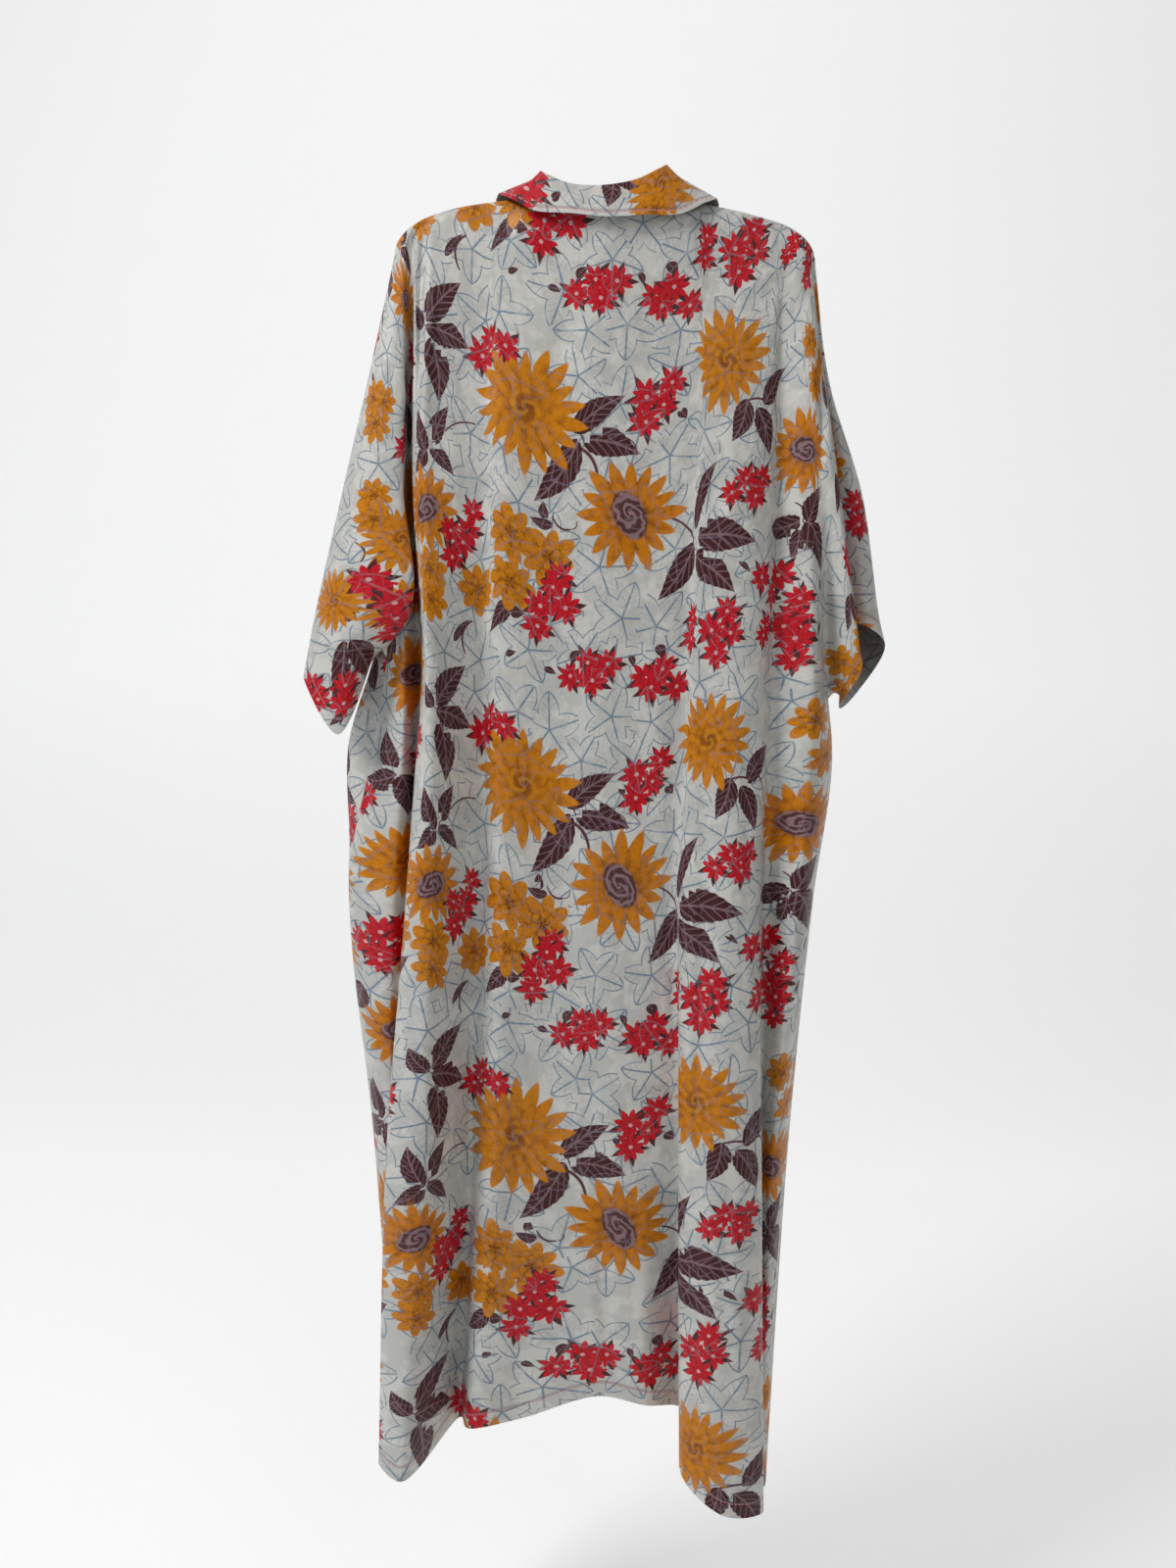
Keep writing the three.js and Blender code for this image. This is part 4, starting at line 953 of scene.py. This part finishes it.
FLOWER = {"colour": "colour", "mask": "value"}
SUNFLOWER = node_group("Sunflower", ONE_PLACE, FLOWER, sunflower)
DAHLIA = node_group("Dahlia", ONE_PLACE, FLOWER, dahlia)
POSY = node_group("Posy flower", ONE_PLACE, FLOWER, posy_flower)
BLOSSOM = node_group("Blossom", ONE_PLACE, FLOWER, blossom)
DRAWN = {"sunflower": SUNFLOWER, "dahlia": DAHLIA, "posy_a": POSY, "posy_b": POSY,
         "blossom_a": BLOSSOM, "blossom_b": BLOSSOM}
print("flowers:", len(DRAWN))

# %% [markdown]
# Thin blue-grey ivy leaves are drawn in outline all over the pale ground, and show faintly over the
# flowers. They could be charted like the flowers, but their places follow no order that shows, so a Voronoi
# texture gives one leaf to each of its cells. The satin's woven pattern makes soft patches, a little duller
# and darker than the rest. A row of stitches is a dashed line at one height over the edge.

# %% Ivy lines, satin ground and stitches
def ivy_lines(g, place, scale):
    cells = g.node("ShaderNodeTexVoronoi", voronoi_dimensions="2D", feature="F1")
    g.feed(cells.inputs["Vector"], place)
    g.feed(cells.inputs["Scale"], scale)
    g.feed(cells.inputs["Randomness"], 0.75)
    middle = g.vector_math("SUBTRACT", place, Value(g, cells.outputs["Position"]))
    x, y = g.parts(middle)[:2]
    red, green = g.parts(Value(g, cells.outputs["Color"]))[:2]
    r = Value(g, cells.outputs["Distance"])
    share = g.math("ARCTAN2", y, x) * 5 / (2 * math.pi) + red * 5
    lobe = (share - g.math("ROUND", share)).abs() * 2
    outline = (1 - lobe**1.1 * 0.5) * (green * 0.2 + 0.56)
    within = g.ramp(r, outline * 0.92, outline, 1, 0)
    edge = g.ramp((r - outline).abs(), 0.008, 0.026, 1, 0)
    vein = g.ramp(lobe * r, 0.012, 0.04, 1, 0)
    branch = g.ramp(((r * 1.6 - lobe * 0.55) * 24).sin(), 0.9, 0.99) * g.ramp(lobe, 0.45, 0.75, 1, 0)
    broken = g.ramp(g.noise(place, 60.0, 1.0), 0.34, 0.5, 0.6, 1)
    return (edge + (vein + branch * 0.6) * within).clamped() * broken,


def satin_patches(g, place):
    broad = g.noise(place, 26.0, 3.0, 0.6)
    fine = g.noise(place, 90.0, 2.0, 0.5)
    return g.ramp(broad + fine * 0.4, 0.62, 0.76),


def stitch_row(g, over, along, at, length):
    line = g.ramp((over - at).abs(), 0.0005, 0.0011, 1, 0)
    part = g.math("FRACT", along / length)
    return line * g.ramp((part - 0.5).abs(), 0.3, 0.42, 1, 0),


IVY = node_group("Ivy lines", {"place": ("vector", None), "scale": ("value", 17)}, {"line": "value"},
                 ivy_lines)
PATCHES = node_group("Satin patches", ONE_PLACE, {"patch": "value"}, satin_patches)
STITCHES = node_group("Stitch row", {
    "over": ("value", 0), "along": ("value", 0), "at": ("value", 0.017), "length": ("value", 0.003)},
    {"stitch": "value"}, stitch_row)
print("groups:", len(bpy.data.node_groups))

# %% [markdown]
# The print lays the motifs on the ground in order: stems and leaves first, then the large flowers, then the
# posies and the red blossoms. The panels and the collar are cut from the same cloth, so the whole print is
# one group, and no material repeats it.

# %% The printed cloth
def printed_cloth(g, flat_cloth, leaf, stem, **flowers):
    patch = g.use(PATCHES, place=flat_cloth)["patch"]
    across, down = g.parts(flat_cloth)[:2]
    thread = g.noise(g.vector(across, down * 14), 260.0, 1.0)
    line = g.use(IVY, place=flat_cloth)["line"]
    ground = g.mix(patch, colour("D2CFC8"), colour("C2C0BA"))
    ground = g.mix(g.ramp(thread, 0.3, 0.7, 0, 0.12), ground, colour("A9A6A0"))
    drawn = g.mix(line * 0.85, ground, colour("5C788F"))
    drawn = g.mix(g.use(STEM, place=stem)["mask"], drawn, colour("5E343A"))
    leaves = g.use(LEAF, place=leaf)
    drawn = g.mix(leaves["mask"], drawn, g.mix(leaves["veins"], colour("431E20"), colour("7C6066")))
    covered = leaves["mask"]
    for kind, value in flowers.items():
        flower = g.use(DRAWN[kind], place=value)
        drawn = g.mix(flower["mask"], drawn, flower["colour"])
        covered = g.math("MAXIMUM", covered, flower["mask"])
    over = line * covered * 0.45
    return g.mix(over, drawn, colour("8C7C86")), patch


PRINTED = node_group("Printed cloth", {
    "flat_cloth": ("vector", None), "leaf": ("vector", None), "stem": ("vector", None),
    "dahlia": ("vector", None), "sunflower": ("vector", None), "posy_a": ("vector", None),
    "posy_b": ("vector", None), "blossom_a": ("vector", None), "blossom_b": ("vector", None)},
    {"colour": "colour", "patch": "value"}, printed_cloth)
print("nodes in the print:", len(PRINTED.nodes))

# %% [markdown]
# Satin has a broad, soft sheen. A glossy and a diffuse shader could be mixed for it, but one Principled
# shader with middling roughness and little specular gives the same and is simpler to keep. The turned hem is
# a small step and the dents are a soft noise, both as bump, and a thin line of painted shade darkens the
# cloth where the hem steps. The wrong side is rougher, and its print is mixed towards a dark grey: partly
# its duller colour, mostly painted shade for the garment's hollow inside.

# %% The satin

def satin(name, stitch_at, stitch_colour):
    """The printed satin, with one row of stitches that far over the lower edge, in metres."""
    made = bpy.data.materials.new(name)
    made.use_nodes = True
    tree = made.node_tree
    tree.nodes.clear()
    g = Graph(tree)
    places = {kind: Value(g, g.node("ShaderNodeAttribute", attribute_name=kind).outputs["Vector"])
              for kind in KINDS}
    flat_cloth = Value(g, g.node("ShaderNodeUVMap", uv_map="flat_cloth").outputs["UV"])
    wrong = Value(g, g.node("ShaderNodeAttribute", attribute_name="wrong_side").outputs["Fac"])
    over = Value(g, g.node("ShaderNodeAttribute", attribute_name="over_edge").outputs["Fac"])
    cloth = g.use(PRINTED, flat_cloth=flat_cloth, **places)
    along = g.parts(flat_cloth)[0]
    stitch = g.use(STITCHES, over=over, along=along, at=stitch_at, length=0.0032)["stitch"]
    face = g.mix(stitch * 0.8, cloth["colour"], stitch_colour)
    # painted shade: a thin dark line just over the stitches, where the turned hem's upper edge steps
    turned = g.ramp((over - stitch_at - 0.0018).abs(), 0.0004, 0.0022, 0.35, 0)
    face = g.mix(turned, face, colour("5A5552"))
    # painted shade: the wrong side is mixed towards a dark grey for the shade inside the garment, which also
    # dulls its print
    inside = g.mix(0.55, face, colour("2E2A2C"))
    shade = g.mix(wrong, face, inside)
    hem = g.ramp(over, stitch_at, stitch_at + 0.0008, 1, 0)
    creased = g.noise(flat_cloth, 34.0, 3.0, 0.55)
    dented = g.noise(flat_cloth, 11.0, 1.0, 0.5)
    height = hem * 0.4 - stitch * 0.4 + creased * 4.0 + dented * 9.0
    bump = g.node("ShaderNodeBump")
    bump.inputs["Strength"].default_value = 0.45
    bump.inputs["Distance"].default_value = 0.002
    g.feed(bump.inputs["Height"], height)
    skin = g.node("ShaderNodeBsdfPrincipled")
    g.feed(skin.inputs["Base Color"], shade)
    g.feed(skin.inputs["Roughness"], cloth["patch"] * 0.1 + 0.4 + wrong * 0.1)
    skin.inputs["Specular IOR Level"].default_value = 0.2
    skin.inputs["Sheen Weight"].default_value = 0.04
    skin.inputs["Sheen Roughness"].default_value = 0.4
    g.feed(skin.inputs["Normal"], Value(g, bump.outputs[0]))
    tree.links.new(skin.outputs[0], g.node("ShaderNodeOutputMaterial").inputs[0])
    return made


panel_satin = satin("printed satin", 0.017, colour("C98E92"))
collar_satin = satin("printed satin, collar", 0.0055, colour("D08088"))
print("materials:", panel_satin.name, "and", collar_satin.name)

# %% [markdown]
# The back and front come straight from their grids. The front has a slit down its middle, so that a head
# can pass. A Boolean could cut it, but leaving out one step of faces keeps the grid clean.

# %% Back and front
SLIT_HALF = 1.5
PLACKET_LAST_ROW = 9
FRONT_SHIFT = (60, 30)  # the front is cut from another place on the printed length than the back

middle_columns = np.abs(front_grid[0, :, 0]) < SLIT_HALF - 0.01
slit = int(np.argmax(middle_columns)) - 1
front_keep = np.ones((front_grid.shape[0] - 1, front_grid.shape[1] - 1), bool)
front_keep[:(PLACKET_LAST_ROW - 1) * ROW_PARTS, slit:slit + COLUMN_PARTS] = False
back = cloth_shell("satin_back", back_grid, -1, back_flat, back_over, panel_satin)
front = cloth_shell("satin_front", front_grid, 1, front_flat, front_over, panel_satin, shift=FRONT_SHIFT,
                    keep=front_keep)
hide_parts("back")
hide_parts("front")

# %% [markdown]
# The collar stands up from the edge of the neck, folds over and falls on the shoulders in one piece. A flat
# strip could be bent round the neck, but its fold and its edge show against the wall in the photo and have
# to lie as they do there. So both lines are given at stations round the neck, in degrees from the centre
# back, and the cloth is spanned from the seam over the fold to the edge.

# %% Collar
Station = namedtuple("Station", "turn fold edge")
COLLAR_STATIONS = [
    Station(0, (0, -24, 8), (0, -44, -24)),
    Station(25, (33, -22, 12), (38, -42, -21)),
    Station(52, (58, -14, 24), (76, -35, -18)),
    Station(88, (64, 0, 26), (114, -10, 3)),
    Station(122, (49, 20, -9), (116, 26, -12)),
    Station(148, (32, 38, -40), (96, 44, -64)),
    Station(179, (8, 46, -52), (62, 52, -112)),
]
FOLD_RADIUS, SEAM_LIFT, LEAN_LEFT, LEAN_TILT = 2.2, 0.8, 5, 0.07
STAND_PARTS, ROUND_PARTS, LEAF_PARTS = 8, 8, 20
COLLAR_SHIFT = (-348, -15)  # where on the printed length the collar is cut


def neck_edge():
    rows = front_grid[0]
    on_neck = np.abs(rows[:, 0]) < NECK_HALF_WIDTH - 1e-6
    left = rows[on_neck & (rows[:, 0] <= -SLIT_HALF + 0.01)][::-1]
    right = rows[on_neck & (rows[:, 0] >= SLIT_HALF - 0.01)][::-1]
    behind = back_grid[0][np.abs(back_grid[0][:, 0]) <= NECK_HALF_WIDTH + 1e-6]
    return np.concatenate([left, behind, right])


def collar_grid():
    points = neck_edge()
    across = np.degrees(np.arcsin(np.clip(points[:, 0] / NECK_HALF_WIDTH, -1, 1)))
    turns = np.where(points[:, 1] <= 0, across, np.sign(points[:, 0]) * 180 - across)
    mirrored = [Station(-s.turn, (-s.fold[0], *s.fold[1:]), (-s.edge[0], *s.edge[1:]))
                for s in COLLAR_STATIONS[:0:-1]]
    stations = mirrored + COLLAR_STATIONS
    knots = [s.turn for s in stations]
    fold = np.stack([smooth_value(knots, [s.fold[k] for s in stations], turns) for k in range(3)], 1)
    edge = np.stack([smooth_value(knots, [s.edge[k] for s in stations], turns) for k in range(3)], 1)
    fold[:, 2] += LEAN_TILT * fold[:, 0]
    fold[:, 0] -= LEAN_LEFT

    def unit(v):
        return v / np.linalg.norm(v, axis=1)[:, None]

    seam = points + unit(fold - points) * SEAM_LIFT
    stand, leaf = unit(fold - seam), unit(edge - fold)
    apart = unit(leaf - stand * (leaf * stand).sum(1)[:, None])
    middle, outside = fold + apart * FOLD_RADIUS, fold + apart * 2 * FOLD_RADIUS
    section = [seam + (fold - seam) * k / STAND_PARTS for k in range(STAND_PARTS)]
    for k in range(ROUND_PARTS):
        angle = math.pi * k / ROUND_PARTS
        section.append(middle + (stand * math.sin(angle) - apart * math.cos(angle)) * FOLD_RADIUS)
    section += [outside + (edge - outside) * k / LEAF_PARTS for k in range(LEAF_PARTS + 1)]
    return np.stack(section)


collar_points = collar_grid()
round_neck = np.linalg.norm(np.diff(collar_points[STAND_PARTS + ROUND_PARTS], axis=0), axis=1)
collar_u = np.concatenate([[0], np.cumsum(round_neck)])
from_middle = np.where(collar_points[0, :, 1] > 0, np.inf, np.abs(collar_points[0, :, 0]))
collar_u -= collar_u[int(np.argmin(from_middle))]
down = np.linalg.norm(np.diff(collar_points, axis=0), axis=2)
collar_v = np.concatenate([np.zeros((1, down.shape[1])), np.cumsum(down, axis=0)])
collar_flat = np.stack([np.broadcast_to(collar_u, collar_v.shape), collar_v], -1) / MM_PER_M
collar_over = (collar_v[-1] - collar_v) / MM_PER_M
collar = cloth_shell("satin_collar", collar_points, -1, collar_flat, collar_over, collar_satin,
                     shift=COLLAR_SHIFT, parted=False)
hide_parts("collar")
collar_length, collar_depth = collar_u[-1] - collar_u[0], collar_v[-1].max()
collar_rim = np.linalg.norm(np.diff(collar_points[-1], axis=0), axis=1).sum()
print(f"collar: {collar_length:.0f} mm round its fold, {collar_rim:.0f} mm round its edge,",
      f"up to {collar_depth:.0f} mm deep")

# %% [markdown]
# The placket is a band over the slit. It could be an outline drawn on the front, but a real one is a layer
# of its own, and its edges catch the light. So it follows the slit's edge row by row, just off the front.

# %% Placket
PLACKET_HALF_WIDTH = 15
PLACKET_LIFT = 1.5
PLACKET_DOWN = 60  # its upper end lies this far down on the flat cloth
placket_rows = np.arange(0, PLACKET_LAST_ROW * ROW_PARTS + 1)
lip = front_grid[placket_rows, slit]
lean = np.gradient(lip, axis=0)
lean /= np.linalg.norm(lean, axis=1)[:, None]
outward = np.stack([np.zeros(len(lip)), -lean[:, 2], lean[:, 1]], 1)
places = np.linspace(-PLACKET_HALF_WIDTH, PLACKET_HALF_WIDTH, 13)
band = np.repeat((lip + outward * PLACKET_LIFT)[:, None], len(places), 1)
band[..., 0] = places
band[0] += (band[1] - band[0]) * 0.3
band_v = np.concatenate([[0], np.cumsum(np.linalg.norm(np.diff(band[:, 0], axis=0), axis=1))])
band_flat = np.stack(np.broadcast_arrays(places[None], band_v[:, None] + PLACKET_DOWN), -1) / MM_PER_M
band_over = np.broadcast_to((band_v[-1] - band_v)[:, None], band.shape[:2]) / MM_PER_M
placket = cloth_shell("satin_placket", band, 1, band_flat, band_over, panel_satin, shift=FRONT_SHIFT,
                      parted=False)
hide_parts("placket")
print(f"placket: {2 * PLACKET_HALF_WIDTH} mm wide, {band_v[-1]:.0f} mm long")

# %% [markdown]
# The buttons are the frame's own solids, which are fine enough for their size. A smooth white plastic would
# look new, so their colour is a little cloudy and their gloss a little scuffed, by two noises of fine scale.

# %% Buttons
button_skin = bpy.data.materials.new("pale button")
button_skin.use_nodes = True
skin = button_skin.node_tree.nodes["Principled BSDF"]
g = Graph(button_skin.node_tree)
inside = Value(g, g.node("ShaderNodeTexCoord").outputs["Object"])
cloudy = g.noise(inside, 240.0, 3.0, 0.6)
scuffs = g.noise(inside, 1500.0, 2.0, 0.7)
g.feed(skin.inputs["Base Color"], g.mix(g.ramp(cloudy, 0.35, 0.65), colour("D9D4C8"), colour("EDEAE2")))
g.feed(skin.inputs["Roughness"], scuffs * 0.2 + 0.18)
skin.inputs["Coat Weight"].default_value = 0.3
buttons = [piece for piece in bpy.data.objects if piece.name.startswith("button_")]
for piece in buttons:
    piece.data.materials.clear()
    piece.data.materials.append(button_skin)
print("buttons:", len(buttons))

# %% [markdown]
# The area of each piece's cloth is measured here, one side of each wall. The real cut is a little
# larger, by the turned hems and the seam allowances. All of it shows, because every piece is modelled all
# round.

# %% The area of each piece
def cloth_area(piece):
    """The area of one side of the wall, in square metres."""
    return sum(face.area for face in piece.data.polygons) / 2


for piece in (back, front, collar, placket):
    print(piece.name, f"{cloth_area(piece):.3f} m2")

# %% [markdown]
# The garment hangs before a pale seamless studio wall, in soft light from the left front and above. A
# bright world alone would light it from all sides and lose the folds. So area lights give one main
# direction, a weak one fills from the right, a cool one lights the hem, and the wall glows a little.

# %% Studio and light
def backdrop():
    half, front_y, back_y, low, radius = 6.0, -4.0, 2.6, -1.75, 1.0
    profile = [(front_y, low), (back_y - radius, low)]
    profile += [(back_y - radius + radius * math.sin(a), low + radius * (1 - math.cos(a)))
                for a in np.linspace(0, math.pi / 2, 12)[1:]]
    profile.append((back_y, 5.0))
    points = [(x, y, z) for y, z in profile for x in (-half, half)]
    faces = [(2 * n, 2 * n + 1, 2 * n + 3, 2 * n + 2) for n in range(len(profile) - 1)]
    mesh = bpy.data.meshes.new("backdrop")
    mesh.from_pydata(points, [], faces)
    mesh.polygons.foreach_set("use_smooth", [True] * len(faces))
    paper = bpy.data.materials.new("pale studio paper")
    paper.use_nodes = True
    skin = paper.node_tree.nodes["Principled BSDF"]
    skin.inputs["Base Color"].default_value = colour("F0F0F0")
    skin.inputs["Emission Color"].default_value = (1, 1, 1, 1)
    skin.inputs["Emission Strength"].default_value = 0.31
    skin.inputs["Roughness"].default_value = 0.9
    skin.inputs["Specular IOR Level"].default_value = 0.1
    mesh.materials.append(paper)
    made = bpy.data.objects.new("backdrop", mesh)
    bpy.context.scene.collection.objects.link(made)
    return made


def soft_light(name, place, target, size, power, tint=(1, 1, 1)):
    lamp = bpy.data.lights.new(name, "AREA")
    lamp.shape, lamp.size, lamp.energy, lamp.color = "SQUARE", size, power, tint
    made = bpy.data.objects.new(name, lamp)
    made.location = place
    aim = mathutils.Vector(target) - mathutils.Vector(place)
    made.rotation_euler = aim.to_track_quat("-Z", "Y").to_euler()
    bpy.context.scene.collection.objects.link(made)


backdrop()
soft_light("key light, left", (-1.8, -1.2, 1.5), (0, 0, -0.5), 0.9, 48)
soft_light("fill light, right", (1.2, -2.9, 1.4), (0, 0, -0.3), 1.6, 14)
soft_light("cool light, low left", (-1.5, -1.9, -1.2), (-0.1, 0, -1.2), 0.8, 4.5, (0.56, 0.8, 1.0))
soft_light("wall light", (0, 0.6, 2.5), (0, 2.6, -0.8), 2.4, 15)
world = bpy.data.worlds.new("studio")
world.use_nodes = True
world.node_tree.nodes["Background"].inputs[0].default_value = (1, 1, 1, 1)
world.node_tree.nodes["Background"].inputs[1].default_value = 0.17
bpy.context.scene.world = world
bpy.context.scene.view_settings.view_transform = "Standard"
print("lights:", ", ".join(lamp.name for lamp in bpy.data.lights))

# %% [markdown]
# The photo was taken from behind, a little above the garment's middle, looking slightly down and hardly
# turned. A Track To constraint would aim a camera at a point, but not roll it. So its axes are worked out.

# %% Camera
CAMERA_PLACE, TILT_DOWN, ROLL = (-0.006742, -1.76, -0.34383), 9.1, 1.3
tilt, roll = math.radians(TILT_DOWN), math.radians(ROLL)
forward = mathutils.Vector((0, math.cos(tilt), -math.sin(tilt)))
level = mathutils.Vector((1, 0, 0))
upright = level.cross(forward)
right = level * math.cos(roll) + upright * math.sin(roll)
up = upright * math.cos(roll) - level * math.sin(roll)
lens = bpy.data.cameras.new("camera")
lens.sensor_fit, lens.sensor_height, lens.lens = "VERTICAL", 36, 36.5
lens.dof.use_dof = False
camera = bpy.data.objects.new("camera", lens)
camera.matrix_world = mathutils.Matrix.Translation(CAMERA_PLACE) @ mathutils.Matrix(
    (right, up, -forward)).transposed().to_4x4()
bpy.context.scene.collection.objects.link(camera)
bpy.context.scene.camera = camera
print(f"camera: {TILT_DOWN} degrees down, {ROLL} degrees turned, {lens.lens} mm lens")

# %% [markdown]
